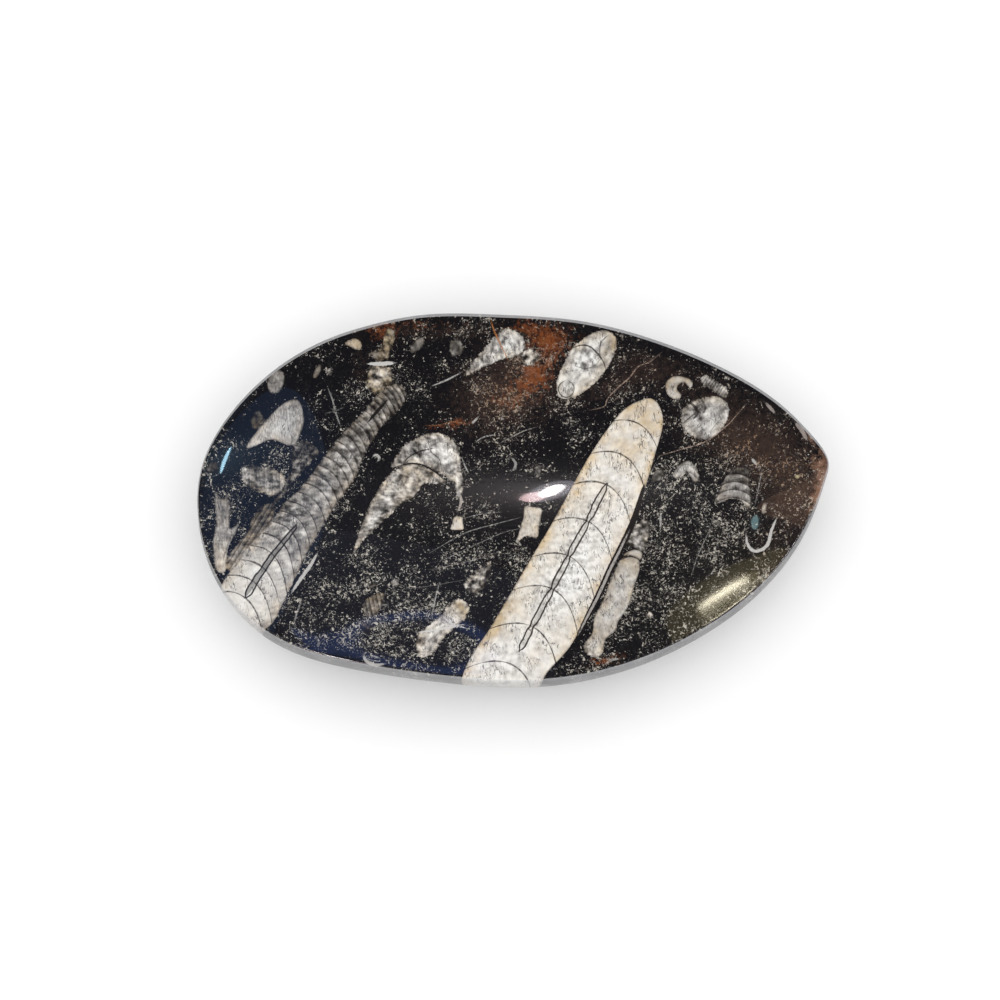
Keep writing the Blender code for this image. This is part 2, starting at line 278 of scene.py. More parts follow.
# Thin marks: half width, strength, rust tint, points along the line. Dark ones have no tint.
PALE_LINES = [
    (0.36, 0.80, 0.0, [(55.2, -8.9), (55.4, -11.2), (56.6, -12.9), (58.5, -12.8), (60.1, -11.3),
                       (61.0, -8.2), (62.2, -5.4)]),
    (0.42, 0.90, 0.0, [(-34.9, 33.0), (-31.8, 33.1), (-28.8, 33.4)]),
    (0.20, 0.85, 1.0, [(-5.4, 42.9), (-4.7, 40.7), (-3.2, 37.9), (-1.3, 34.3)]),
    (0.12, 0.55, 0.9, [(-21.4, 19.1), (-17.9, 19.3), (-14.9, 20.1), (-11.0, 19.6)]),
    (0.13, 0.75, 0.5, [(35.5, 34.9), (32.8, 33.0), (30.1, 32.1), (28.0, 29.7), (25.2, 27.5),
                       (22.9, 25.2), (22.1, 23.4), (18.7, 22.6)]),
    (0.13, 0.70, 0.5, [(55.8, 22.5), (53.2, 19.8), (51.6, 18.1), (46.2, 14.3), (40.8, 12.8),
                       (35.3, 11.3)]),
    (0.18, 0.70, 0.0, [(-19.7, 28.4), (-16.1, 29.8), (-12.6, 31.5)]),
    (0.24, 0.60, 0.0, [(-10.5, 19.3), (-8.4, 21.3)]),
    (0.14, 0.70, 0.0, [(-9.1, 15.3), (-7.1, 16.5), (-4.4, 17.0)]),
    (0.12, 0.60, 0.1, [(-3.2, 15.0), (-0.3, 16.5), (2.6, 17.9), (5.6, 18.8)]),
    (0.07, 0.50, 0.1, [(-27.0, -21.7), (-19.8, -20.7), (-11.6, -19.1)]),
    (0.26, 0.95, 0.0, [(-22.6, -32.2), (-17.8, -31.5), (-11.8, -30.2)]),
    (0.22, 0.85, 0.0, [(-16.8, -28.1), (-14.8, -29.9), (-11.3, -31.1)]),
    (0.16, 0.75, 0.0, [(-17.6, -19.9), (-18.6, -24.1), (-19.2, -27.8)]),
    (0.11, 0.70, 0.0, [(-20.0, -12.4), (-11.7, -7.4), (-3.9, -5.0), (1.6, -3.5)]),
    (0.09, 0.60, 0.0, [(-17.6, -14.6), (-9.2, -10.4), (-2.0, -7.1), (2.8, -6.1)]),
    (0.09, 0.60, 0.2, [(-19.9, -16.7), (-10.4, -14.4), (-3.2, -12.1)]),
    (0.09, 0.55, 0.0, [(-13.0, -4.1), (-8.4, -2.7), (-3.0, -2.1)]),
    (0.38, 0.75, 0.0, [(-46.8, -13.0), (-48.4, -16.1), (-50.7, -19.8), (-52.3, -22.7)]),
    (0.20, 0.35, 0.0, [(-50.0, -24.5), (-50.9, -27.6), (-51.6, -30.7)]),
    (0.38, 0.60, 0.0, [(-35.0, -37.6), (-34.4, -39.2), (-32.3, -40.1), (-30.2, -39.9)]),
    (0.22, 0.45, 0.0, [(-33.5, -37.8), (-31.2, -38.5)]),
    (0.20, 0.38, 0.0, [(-44.7, 27.1), (-43.6, 24.3), (-43.0, 21.7), (-41.8, 18.4)]),
    (0.14, 0.25, 0.0, [(-45.3, 21.3), (-42.9, 22.0), (-41.0, 22.9)]),
    (0.30, 0.40, 0.0, [(-0.4, 11.4), (0.6, 10.2), (0.4, 8.9), (-0.3, 8.2)]),
    (0.30, 0.60, 0.0, ring(-33.3, 11.0, 0.8, -60.0, 210.0)),
    (0.16, 0.70, 0.0, [(-12.4, 11.2), (-11.5, 8.9), (-10.8, 7.7)]),
    (0.30, 0.55, 0.2, [(-12.8, 2.2), (-12.6, 0.5), (-13.2, -1.7)]),
    (0.22, 0.60, 0.0, [(35.4, -2.8), (35.3, -6.7)]),
    (0.12, 0.45, 0.0, [(42.0, -18.9), (43.7, -13.9), (47.0, -7.0)]),
    (0.30, 0.50, 0.2, [(60.1, 22.5), (61.4, 21.1), (62.4, 19.9)]),
    (0.40, 0.45, 0.2, [(67.1, 17.4), (68.5, 15.7), (69.7, 13.5)]),
    (0.30, 0.60, 0.0, [(57.2, 9.8), (58.2, 8.3)]),
    (0.15, 0.35, 0.0, [(59.5, 7.1), (58.6, 2.9), (57.6, -1.6)]),
    (0.26, 0.45, 0.0, [(21.3, -39.9), (22.9, -38.9), (24.6, -38.7)]),
    (0.13, 0.35, 0.0, ring(-13.5, -35.3, 1.5, 30.0, 290.0)),
    (0.12, 0.30, 0.0, ring(-7.7, -11.8, 1.0, 0.0, 330.0)),
    (0.12, 0.20, 0.0, ring(-71.5, 6.6, 1.9, 100.0, 260.0)),
    (0.30, 0.60, 0.1, GAP_LINE[2:]),
]
DARK_LINES = [
    (0.62, 0.50, [(-51.7, -5.5), (-53.6, -8.8), (-57.1, -13.8), (-60.4, -19.4), (-62.9, -23.8)]),
    (0.14, 0.95, [(-26.4, 10.4), (-24.6, 12.0), (-22.0, 13.1), (-19.5, 13.6)]),
    (0.17, 1.00, [(-30.1, 7.7), (-28.0, 9.1), (-24.6, 9.9), (-21.7, 9.4), (-19.0, 7.9),
                  (-16.8, 6.0)]),
    (0.12, 0.70, [(-20.6, 14.8), (-19.9, 12.7), (-18.0, 11.1), (-17.6, 9.7)]),
    (0.36, 1.00, [(-35.0, 19.9), (-33.5, 21.7), (-30.7, 24.8)]),
    (0.13, 0.90, [(13.9, 36.5), (16.3, 37.2), (18.5, 36.8), (20.2, 35.4), (21.6, 33.7), (22.5, 31.5)]),
    (0.10, 0.75, [(20.8, 35.2), (21.1, 37.7), (22.8, 39.1)]),
    (0.09, 0.60, [(15.1, 32.7), (17.5, 32.1), (19.7, 32.7), (21.1, 34.2)]),
    (0.11, 0.90, ring(12.9, 27.6, 1.9, 100.0, 330.0)),
    # Painted shade: a dark line along the crease where the point's two walls meet
    (0.20, 0.70, [(63.3, 12.3), (67.0, 10.5), (69.6, 8.3), (71.9, 7.5)]),
    (0.30, 0.85, [(42.0, 23.8), (43.5, 22.8), (44.5, 21.2), (43.6, 19.9)]),
    (0.15, 0.75, [(41.2, 19.1), (43.4, 20.8), (46.1, 22.9)]),
    (0.22, 0.60, [(45.1, 24.2), (46.3, 22.5), (45.6, 20.8)]),
    (0.10, 0.50, [(47.7, 16.9), (49.1, 18.8), (50.3, 19.5)]),
    (0.12, 0.90, [(25.8, -14.3), (27.9, -13.5), (30.0, -14.3)]),
    (0.11, 0.80, [(26.1, -13.0), (28.3, -11.6), (30.7, -12.3)]),
    (0.10, 0.50, [(-66.4, -8.4), (-67.4, -11.2), (-68.3, -15.1)]),
    (0.12, 0.60, [(-5.4, -19.1), (-9.6, -22.6), (-11.0, -24.6)]),
    (0.80, 1.00, GAP_LINE),
]

# Soft spots: middle x and y, reach along and across, turn in degrees, amount
RUST = [
    (8.4, 38.5, 5.2, 2.8, 0, 0.95), (4.8, 30.7, 3.8, 3.0, 30, 0.85), (2.5, 41.5, 4.0, 1.6, 0, 0.55),
    (8.4, 33.0, 4.5, 3.0, 80, 0.35), (0.0, 26.0, 5.0, 3.0, 20, 0.40), (-31.4, 40.1, 3.4, 1.8, 0, 0.70),
    (-24.0, 41.6, 10.0, 1.2, 0, 0.25), (21.5, -39.2, 3.5, 1.2, 10, 0.5), (-13.5, 19.7, 3.0, 1.0, 0, 0.45),
    (-19.4, 19.1, 2.5, 0.6, 0, 0.35),
]
BROWN = [
    (-5.7, 25.5, 10.0, 8.0, 15, 0.60), (56.6, 13.9, 15.0, 7.5, -32, 0.85), (34.9, 31.2, 12.0, 3.5, -20, 0.35),
    (4.4, 30.9, 9.0, 9.0, 0, 0.55), (-25.0, 40.6, 18.0, 2.0, 0, 0.4), (24.9, 28.4, 8.0, 3.4, 20, 0.45),
    (61.9, -14.1, 10.0, 8.0, 30, 0.20), (-36.9, 32.5, 2.0, 4.0, 0, 0.3), (65.8, 1.8, 6.0, 10.0, 0, 0.45),
]
# Tan at the point: partly brown stone, partly painted light, the lit look of its lower wall
TAN_AND_LIT_POINT = [(74.0, 1.0, 3.6, 7.5, -20, 1.0), (70.5, 13.5, 4.5, 1.4, -52, 0.5), (71.9, 7.7, 3.4, 2.4, 0, 0.5)]
GRAIN = [
    (45.8, -12.3, 20.0, 16.0, 0, 0.42), (-32.9, -26.2, 24.0, 12.0, -10, 0.36),
    (-12.0, -8.2, 14.0, 10.0, 0, 0.12), (-36.9, -1.3, 3.6, 13.0, -35, -0.25),
    (44.0, 36.0, 24.0, 4.0, -24, -0.55), (-5.0, 25.5, 9.0, 7.0, 0, 0.28),
    (59.6, 9.4, 14.0, 9.0, -30, 0.18), (-54.9, 25.7, 16.0, 7.0, 40, -0.30),
    (-21.9, 24.4, 10.0, 6.0, 0, -0.10), (18.0, -38.1, 18.0, 4.0, 10, 0.25),
    (5.0, 33.5, 7.0, 7.0, 0, 0.22), (-57.7, 10.4, 4.0, 2.8, 5, 0.35),
    (-5.0, 8.0, 14.0, 8.0, 0, -0.10), (-22.0, -4.2, 5.0, 5.0, 0, -0.15),
    (-44.0, -37.0, 16.0, 2.6, -16, -0.35),
]
# The same for fossils: what is added to their tone, warmth and mottle
SHADES = [
    (17.5, -5.5, 9.0, 2.8, 62, -0.10, -0.1, 0.22), (9.5, -21.0, 8.0, 2.8, 62, -0.10, 0.0, 0.24),
    (-64.0, -25.0, 17.0, 11.0, 60, 0.42, 0.05, -0.22), (-33.8, 19.9, 10.0, 6.0, 50, -0.04, 0.25, 0.10),
    (-53.2, -3.5, 4.5, 3.5, 50, -0.12, 0.0, 0.22), (-40.8, 8.5, 4.0, 4.0, 50, 0.06, 0.0, 0.10),
    (32.8, 18.4, 9.0, 7.0, 60, -0.03, 0.55, 0.0), (13.0, 0.8, 10.0, 2.6, 62, -0.04, 0.75, 0.0),
    (-3.5, -27.2, 9.0, 2.4, 60, -0.10, 0.90, 0.05), (13.9, -18.3, 15.0, 4.6, 62, 0.02, -0.5, 0.12),
    (-2.0, -40.1, 8.0, 5.0, 60, -0.02, -0.35, 0.14), (23.9, -14.3, 12.0, 1.6, 62, -0.05, 0.30, 0.0),
    (-24.5, 6.7, 3.6, 2.4, 20, -0.03, 0.80, 0.0), (-20.0, 4.8, 3.0, 0.8, -10, 0.20, -0.5, 0.0),
    (-32.9, -4.7, 5.0, 2.0, 52, -0.08, -0.2, 0.20), (-23.6, 12.4, 3.2, 1.6, 20, -0.25, 0.0, 0.15),
    (-16.0, 13.4, 3.0, 3.6, 0, 0.16, 0.0, 0.0), (-13.4, 4.0, 1.5, 3.0, 0, -0.15, 0.0, 0.1),
    (23.3, 36.8, 1.5, 2.6, -25, -0.12, 1.30, -0.1), (17.4, 33.8, 3.0, 2.2, 30, -0.20, -0.3, 0.35),
    (-18.0, -30.4, 4.5, 1.2, 15, 0.25, -0.2, 0.0), (-12.4, -25.8, 1.4, 2.2, 0, 0.05, 1.10, -0.2),
    (-57.2, 16.9, 3.4, 2.4, 30, 0.20, 0.0, 0.0), (-61.8, 13.2, 2.0, 1.4, 20, 0.20, 0.0, 0.0),
    (43.6, 22.1, 2.4, 2.6, 0, -0.22, 0.0, 0.20), (48.7, 17.8, 2.8, 2.8, 0, 0.16, 0.0, -0.1),
    (54.6, 6.2, 3.0, 2.2, 0, -0.28, 0.1, 0.10), (53.3, 0.7, 4.0, 1.8, -10, 0.20, -0.1, 0.0),
    (27.3, -18.9, 1.0, 1.6, 62, 0.16, 0.0, 0.05), (25.1, -22.8, 1.0, 1.8, 62, 0.14, 0.0, 0.05),
    (22.5, -28.2, 1.2, 2.0, 62, 0.10, 0.0, 0.0), (18.6, -36.7, 2.2, 1.8, 0, 0.06, 0.0, 0.35),
    (3.6, -8.8, 3.0, 1.0, 0, 0.12, 0.3, 0.10), (-68.7, -15.1, 1.6, 3.6, 0, 0.12, 0.5, 0.0),
    (-4.6, 35.5, 2.4, 2.0, 40, 0.16, 0.0, 0.0), (0.8, 38.7, 2.0, 2.0, 0, 0.16, 0.0, -0.1),
]

# The big orthocone's place among the fossils, its axis from the middle of its blunt end,
# and where its septa cross it
BIG_NUMBER = 0
BIG_TOP, BIG_FOOT = (34.2, 25.0), (-2.1, -45.5)
BIG_SEPTA = [-8.0, 7.0, 15.3, 23.5, 33.7, 43.6, 52.7, 63.2, 73.6, 84.0, 95.0]
SEPTUM_SAG = 0.068                 # how far a septum bends back, per square millimetre
BIG_RIBS = (0.05, 1.0)             # how much a chamber darkens, and the strength of its wall
BIG_TUBE = (23.2, 69.6)            # where the siphuncle starts and ends
BIG_TUBE_OFFSET = -1.0             # it runs a little to one side of the axis
BIG_TUBE_LEAD, BIG_TUBE_OPENING = 0.5, 1.2
BEAD_HALF, BEAD_WAIST, WAIST_LENGTH = 0.66, 0.34, 0.9  # its beads narrow at each septum
# The left orthocone's axis, bent a little, and the growth of its chambers
LEFT_NUMBER = 1
LEFT_AXIS = [(-25.2, 31.2), (-28.0, 26.9), (-39.1, 12.9), (-48.4, -2.1), (-58.2, -16.6),
             (-64.8, -30.1), (-69.5, -41.0)]
LEFT_FIRST_CHAMBER, LEFT_GROWTH, LEFT_CHAMBERS = 0.98, 1.052, 36
LEFT_SAG, LEFT_SAG_MIDDLE = 0.075, -2.2
LEFT_DARKENING = ((1.2, 2.4, 4.5), (0.75, 0.42, 0.10))  # by the chamber's length
LEFT_WALLS = ((1.2, 3.0), (0.6, 1.0))                   # strength of its wall, by the same
LEFT_TUBE, LEFT_TUBE_HALF = (45.6, 66.9), (0.40, 0.72)
LEFT_TUBE_OFFSET = 0.6
LEFT_TUBE_LEAD, LEFT_TUBE_OPENING = 0.0, 2.0
# How both siphuncles end
TUBE_CLOSING, TUBE_TAIL = 1.2, 0.8

# Orthocones deeper in the stone, which only the outside cuts: ends, radii, tone, chamber gap;
# and for all of them warmth, mottle and streaks, then darkening and wall strength
DEEP_LOOKS, DEEP_RIBS = (0.3, 0.30, 0.2), (0.2, 0.9)
DEEP_CONES = [
    ((-52.0, 6.0, 6.0), (10.0, 24.0, -1.0), 3.2, 7.0, 0.60, 4.2),
    ((36.0, -22.0, 0.5), (-22.0, -8.0, 1.5), 2.4, 5.2, 0.66, 3.4),
    ((20.0, 14.0, 0.0), (46.0, 6.0, 4.0), 2.0, 3.6, 0.45, 2.6),
    ((-46.0, -18.0, 0.5), (-30.0, -20.0, 0.0), 1.6, 2.6, 0.5, 2.2),
    ((58.0, 24.0, 12.0), (30.0, 46.0, 6.0), 2.0, 4.2, 0.62, 3.0),
    ((-10.0, 46.0, 12.0), (-30.0, 34.0, 5.0), 3.0, 4.0, 0.55, 3.6),
    ((-74.0, 4.0, 9.0), (-60.0, 22.0, 14.0), 2.0, 3.0, 0.5, 2.6),
    ((60.0, -24.0, 10.0), (44.0, -34.0, 8.0), 1.8, 3.0, 0.58, 2.6),
]


# ---------------------------------------------------------------- plan curves
def cos_sin(turn):
    """Cosine and sine of an angle in degrees."""
    return math.cos(math.radians(turn)), math.sin(math.radians(turn))


def closed_curve(corners, steps):
    """Points on the smooth closed cubic curve through the corners."""
    corners = np.array(corners, dtype=float)
    count = len(corners)
    spans = np.linalg.norm(np.roll(corners, -1, axis=0) - corners, axis=1)
    matrix = np.zeros((count, count))
    right_side = np.zeros((count, 2))
    for i in range(count):
        before, after = spans[i - 1], spans[i]
        matrix[i, i - 1] = before
        matrix[i, i] = 2.0 * (before + after)
        matrix[i, (i + 1) % count] = after
        ahead = (corners[(i + 1) % count] - corners[i]) / after
        right_side[i] = 6.0 * (ahead - (corners[i] - corners[i - 1]) / before)
    curvature = np.linalg.solve(matrix, right_side)
    points = []
    for i in range(count):
        j = (i + 1) % count
        gone = (spans[i] * np.arange(steps) / steps)[:, None]
        left = spans[i] - gone
        cubic = (curvature[i] * left ** 3 + curvature[j] * gone ** 3) / (6.0 * spans[i])
        start = (corners[i] / spans[i] - curvature[i] * spans[i] / 6.0) * left
        end = (corners[j] / spans[i] - curvature[j] * spans[i] / 6.0) * gone
        points.append(cubic + start + end)
    return np.concatenate(points)


def open_curve(corners, steps=5):
    """Points on a smooth open curve through the corners."""
    corners = np.array(corners, dtype=float)
    padded = np.vstack([2 * corners[0] - corners[1], corners, 2 * corners[-1] - corners[-2]])
    t = (np.arange(steps) / steps)[:, None]
    pieces = []
    for a, b, c, d in zip(padded, padded[1:], padded[2:], padded[3:]):
        bend = (2 * a - 5 * b + 4 * c - d) * t ** 2 + (3 * b - a - 3 * c + d) * t ** 3
        pieces.append(0.5 * (2 * b + (c - a) * t + bend))
    return np.vstack(pieces + [corners[-1:]])


def fitted_outline(steps):
    """The dish's outline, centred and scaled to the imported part's length and width."""
    points = closed_curve(OUTLINE, steps)
    low, high = points.min(axis=0), points.max(axis=0)
    return (points - (low + high) / 2.0) * np.array(CAD_SIZE[:2]) / (high - low)


def inward_directions(outline):
    """Unit vectors square to the outline, pointing into the leaf."""
    along = np.roll(outline, -1, axis=0) - np.roll(outline, 1, axis=0)
    inward = np.stack([-along[:, 1], along[:, 0]], axis=1)
    return inward / np.linalg.norm(inward, axis=1)[:, None]


def lip_widths(outline):
    """The lip's width at each point, less where the outline faces along X."""
    facing_ends = inward_directions(outline)[:, 0] ** 4
    return LIP_WIDTH + (LIP_WIDTH_AT_ENDS - LIP_WIDTH) * facing_ends


def nearest_on_path(points, path, closed):
    """Distance to the nearest stretch of a path, that stretch and how far along it, unclipped."""
    start = path if closed else path[:-1]
    span = (np.roll(path, -1, axis=0) if closed else path[1:]) - start
    offset = points[:, None, :] - start[None, :, :]
    along = (offset * span).sum(axis=2) / (span * span).sum(axis=1)
    clipped = np.clip(along, 0.0, 1.0)
    distance = np.linalg.norm(offset - clipped[:, :, None] * span, axis=2)
    nearest = distance.argmin(axis=1)
    rows = np.arange(len(points))
    return distance[rows, nearest], nearest, along[rows, nearest]


def rim_lift(edge, points):
    """How strongly the whole rim holds the bowl up at each point inside it.

    Every stretch of the rim counts by the angle it fills, seen from the point,
    over its distance, so the lift is endless on the rim and smooth inside it.
    """
    far_share = 0.5 - 0.5 * inward_directions(edge)[:, 1]
    strength = NEAR_SIDE_LIFT + (FAR_SIDE_LIFT - NEAR_SIDE_LIFT) * far_share
    strength = 0.5 * (strength + np.roll(strength, -1))
    following = np.roll(edge, -1, axis=0)
    length = np.linalg.norm(following - edge, axis=1)
    to_start = edge[None, :, :] - points[:, None, :]
    to_end = following[None, :, :] - points[:, None, :]
    area = np.abs(to_start[..., 0] * to_end[..., 1] - to_start[..., 1] * to_end[..., 0])
    distance = np.maximum(area / length, NO_DISTANCE)
    angle = np.arctan2(distance * length, (to_start * to_end).sum(axis=2))
    return (strength * angle / distance).sum(axis=1)


def depth_share(edge, points):
    """How deep each point lies: 0 on the rim edge, 1 at the deepest place."""
    across = np.arange(-DEEPEST_SEARCH, DEEPEST_SEARCH + 1.0)
    middle = np.stack(np.meshgrid(across, across), axis=-1).reshape(-1, 2)
    least = rim_lift(edge, middle).min()
    parts = np.array_split(points, max(1, len(points) // POINTS_AT_ONCE))
    return np.concatenate([least / rim_lift(edge, part) for part in parts])


def inside_outline(points, outline):
    """Which points lie inside a closed outline."""
    x, y = points[:, 0:1], points[:, 1:2]
    ax, ay = outline[:, 0], outline[:, 1]
    bx, by = np.roll(ax, -1), np.roll(ay, -1)
    crosses = (ay > y) != (by > y)
    rise = np.where(by == ay, 1.0, by - ay)
    left_of = x < ax + (bx - ax) * (y - ay) / rise
    return (crosses & left_of).sum(axis=1) % 2 == 1


def signed_distance(points, outline):
    """Distance to a closed outline, negative inside it."""
    distance = nearest_on_path(points, outline, closed=True)[0]
    return np.where(inside_outline(points, outline), -distance, distance)


def side_distance(points, path):
    """Distance to an open path, positive on its left, how far past its ends and along it."""
    distance, nearest, along = nearest_on_path(points, path, closed=False)
    start = path[nearest]
    span = path[nearest + 1] - start
    length = np.linalg.norm(span, axis=1)
    offset = points - start
    side = (span[:, 0] * offset[:, 1] - span[:, 1] * offset[:, 0]) / length
    last = len(path) - 2
    before = np.where(nearest == 0, -along, 0.0) * length
    after = np.where(nearest == last, along - 1.0, 0.0) * length
    past = np.clip(np.maximum(before, after), 0.0, None)
    signed = np.where(past > 0.0, side, np.sign(side) * distance)
    walked = np.concatenate([[0.0], np.cumsum(np.linalg.norm(np.diff(path, axis=0), axis=1))])
    return signed, past, walked[nearest] + along * length


# ---------------------------------------------------------------- marks on the skin
def near_box(points, outline, margin):
    """Indices of the points inside the outline's box, widened by a margin."""
    low, high = outline.min(axis=0) - margin, outline.max(axis=0) + margin
    return np.flatnonzero(((points > low) & (points < high)).all(axis=1))


def oval_outline(x, y, long_half, wide_half, turn):
    """A closed oval, a little uneven so that it doesn't look drawn."""
    angle = np.linspace(0.0, 2.0 * np.pi, OVAL_POINTS, endpoint=False)
    two, three = OVAL_UNEVENNESS
    uneven = 1.0 + two * np.sin(2.0 * angle + x) + three * np.sin(3.0 * angle + y)
    along, across = long_half * uneven * np.cos(angle), wide_half * uneven * np.sin(angle)
    c, s = cos_sin(turn)
    return np.stack([x + along * c - across * s, y + along * s + across * c], axis=1)


def below_surface(distance, depth, radius):
    """Carries a section's distance down into the stone, as if the fossil were round."""
    return np.sqrt(np.maximum(distance + radius, 0.0) ** 2 + depth ** 2) - radius


def lay_sections(plan, depth):
    """Edge distance, looks (tone, warmth, mottle, streaks) and number of the nearest fossil."""
    edge = np.full(len(plan), FAR_AWAY)
    looks = np.zeros((len(plan), 4))
    owner = np.full(len(plan), -1)
    sections = [(closed_curve(corners, FOSSIL_STEPS), kind) for _, *kind, corners in FOSSILS]
    sections += [(oval_outline(*oval[:5]), oval[5:]) for oval in OVALS]
    for number, (outline, kind) in enumerate(sections):
        near = near_box(plan, outline, MARK_MARGIN)
        distance = signed_distance(plan[near], outline)
        size = outline.max(axis=0) - outline.min(axis=0)
        distance = below_surface(distance, depth[near], SECTION_ROUNDNESS * size.min())
        closer = distance < edge[near]
        edge[near[closer]] = distance[closer]
        looks[near[closer]] = kind
        owner[near[closer]] = number
    for x, y, *spot in SHADES:
        looks[:, :3] += soft_spots(plan, [(x, y, *spot[:3], 1.0)])[:, None] * spot[3:]
    return edge, looks, owner


def lay_ribs(plan, chamber, ribs, owner):
    """Chamber count and looks of the fossils that are ribbed straight across."""
    for number, (name, *_, corners) in enumerate(FOSSILS):
        if name in RIBS:
            turn, gap, sag, darkening, wall = RIBS[name]
            mine = np.flatnonzero(owner == number)
            c, s = cos_sin(turn)
            offset = plan[mine] - np.mean(corners, axis=0)
            along, across = offset @ [c, s], offset @ [-s, c]
            chamber[mine, 0] = (along - sag * across ** 2) / gap + RIB_COUNT_START
            chamber[mine, 1] = gap
            ribs[mine] = darkening, wall


def lay_lines(plan, depth, lines):
    """Side distance, half width and strength of the nearest line at each point, and its tint."""
    marks = np.zeros((len(plan), 3))
    marks[:, 0] = FAR_AWAY
    tint = np.zeros(len(plan))
    for half_width, strength, *rust, corners in lines:
        path = open_curve(corners)
        near = near_box(plan, path, half_width + LINE_MARGIN)
        signed, past, walked = side_distance(plan[near], path)
        share = np.clip(walked / np.linalg.norm(np.diff(path, axis=0), axis=1).sum(), 0.0, 1.0)
        taper = LINE_THINNEST + (1.0 - LINE_THINNEST) * np.sqrt(4.0 * share * (1.0 - share))
        closer = np.abs(signed) + past < np.abs(marks[near, 0])
        keep = near[closer]
        fade = np.clip(1.0 - past[closer] / (half_width + LINE_END_FADE), 0.0, 1.0)
        fade *= np.clip((half_width + LINE_REACH - np.abs(signed[closer])) / LINE_SIDE_FADE, 0.0, 1.0)
        fade *= np.clip(1.0 - depth[keep] / LINE_DEPTH, 0.0, 1.0)
        marks[keep, 0] = signed[closer]
        marks[keep, 1] = half_width * taper[closer]
        marks[keep, 2] = strength * fade
        tint[keep] = rust[0] if rust else 0.0
    return marks, tint


def soft_spots(plan, spots):
    """Sum of soft oval spots at each point."""
    total = np.zeros(len(plan))
    for x, y, along, across, turn, amount in spots:
        c, s = cos_sin(turn)
        dx, dy = plan[:, 0] - x, plan[:, 1] - y
        u, v = (dx * c + dy * s) / along, (dy * c - dx * s) / across
        total += amount * np.exp(-(u * u + v * v))
    return total


def count_chambers(chamber, mine, reach, septa):
    """Stores how many septa each point is past and how far apart they are there, and gives both."""
    count = np.interp(reach, septa, np.arange(len(septa)))
    gap = np.interp(reach, septa[1:], np.diff(septa))
    chamber[mine] = np.stack([count, gap], axis=1)
    return count, gap


def lay_siphuncle(tube, mine, along, side, half_width, ends, lead, opening):
    """A siphuncle's side distance and its half width, which narrows to nothing at its ends."""
    start, end = ends
    wide = np.clip((along - start) / opening, 0.0, 1.0) * np.clip((end - along) / TUBE_CLOSING, 0.0, 1.0)
    shown = (along > start - lead) & (along < end + TUBE_TAIL)
    tube[mine, 0] = np.where(shown, side, FAR_AWAY)
    tube[mine, 1] = half_width * np.sqrt(wide)


def lay_big_chambers(plan, chamber, ribs, tube, mine):
    """The big orthocone's chamber count and its siphuncle."""
    top, foot = np.array(BIG_TOP), np.array(BIG_FOOT)
    axis = (foot - top) / np.linalg.norm(foot - top)
    offset = plan[mine] - top
    u = offset @ axis
    v = offset @ np.array([-axis[1], axis[0]]) - BIG_TUBE_OFFSET
    count, gap = count_chambers(chamber, mine, u - SEPTUM_SAG * v ** 2, BIG_SEPTA)
    ribs[mine] = BIG_RIBS
    from_septum = np.abs(count - np.round(count)) * gap
    bead = BEAD_HALF - BEAD_WAIST * np.exp(-(from_septum / WAIST_LENGTH) ** 2)
    lay_siphuncle(tube, mine, u, v, bead, BIG_TUBE, BIG_TUBE_LEAD, BIG_TUBE_OPENING)


def lay_left_chambers(plan, chamber, ribs, tube, mine):
    """The left orthocone's close chambers, each longer than the last, and its siphuncle."""
    signed, _, walked = side_distance(plan[mine], open_curve(LEFT_AXIS))
    septa = [0.0]
    for i in range(LEFT_CHAMBERS):
        septa.append(septa[-1] + LEFT_FIRST_CHAMBER * LEFT_GROWTH ** i)
    reach = walked - LEFT_SAG * (signed - LEFT_SAG_MIDDLE) ** 2 + LEFT_SAG * LEFT_SAG_MIDDLE ** 2
    _, gap = count_chambers(chamber, mine, reach, septa)
    ribs[mine] = np.stack([np.interp(gap, *LEFT_DARKENING), np.interp(gap, *LEFT_WALLS)], axis=1)
    half_width = np.interp(walked, LEFT_TUBE, LEFT_TUBE_HALF)
    lay_siphuncle(tube, mine, walked, signed + LEFT_TUBE_OFFSET, half_width, LEFT_TUBE,
                  LEFT_TUBE_LEAD, LEFT_TUBE_OPENING)


def lay_deep_cones(place, edge, looks, chamber, ribs):
    """Orthocones inside the stone, for the points of the wall and the base."""
    for start, end, radius, end_radius, tone, gap in DEEP_CONES:
        start, end = np.array(start), np.array(end)
        span = end - start
        length = np.linalg.norm(span)
        offset = place - start
        share = np.clip(offset @ span / length ** 2, 0.0, 1.0)
        distance = np.linalg.norm(offset - share[:, None] * span, axis=1)
        distance -= radius + (end_radius - radius) * share
        closer = distance < edge
        edge[closer] = distance[closer]
        looks[closer] = (tone, *DEEP_LOOKS)
        chamber[closer] = np.stack([offset @ span / length / gap, np.full(len(place), gap)], axis=1)[closer]
        ribs[closer] = DEEP_RIBS


# ---------------------------------------------------------------- the skin's mesh
def join_rings(inner, outer):
    """Faces between two rings of vertex numbers, the outer one as fine or twice as fine."""
    after = np.roll(inner, -1)
    if len(outer) == len(inner):
        return np.stack([inner, outer, np.roll(outer, -1), after], axis=1).tolist()
    even, odd = outer[0::2], outer[1::2]
    low = np.stack([inner, even, odd], axis=1).tolist()
    middle = np.stack([inner, odd, after], axis=1).tolist()
    high = np.stack([after, odd, np.roll(even, -1)], axis=1).tolist()
    return low + middle + high


def shrinking_steps(count, rings, finest):
    """For rings from the middle out: their scale and how many outline points each skips."""
    steps = []
    for i in range(1, rings + 1):
        scale = i / rings
        skip = finest
        while skip * 2 <= COARSEST_SKIP and scale <= finest / skip / 2 and count % (skip * 2) == 0:
            skip *= 2
        steps.append((scale, skip))
    return steps


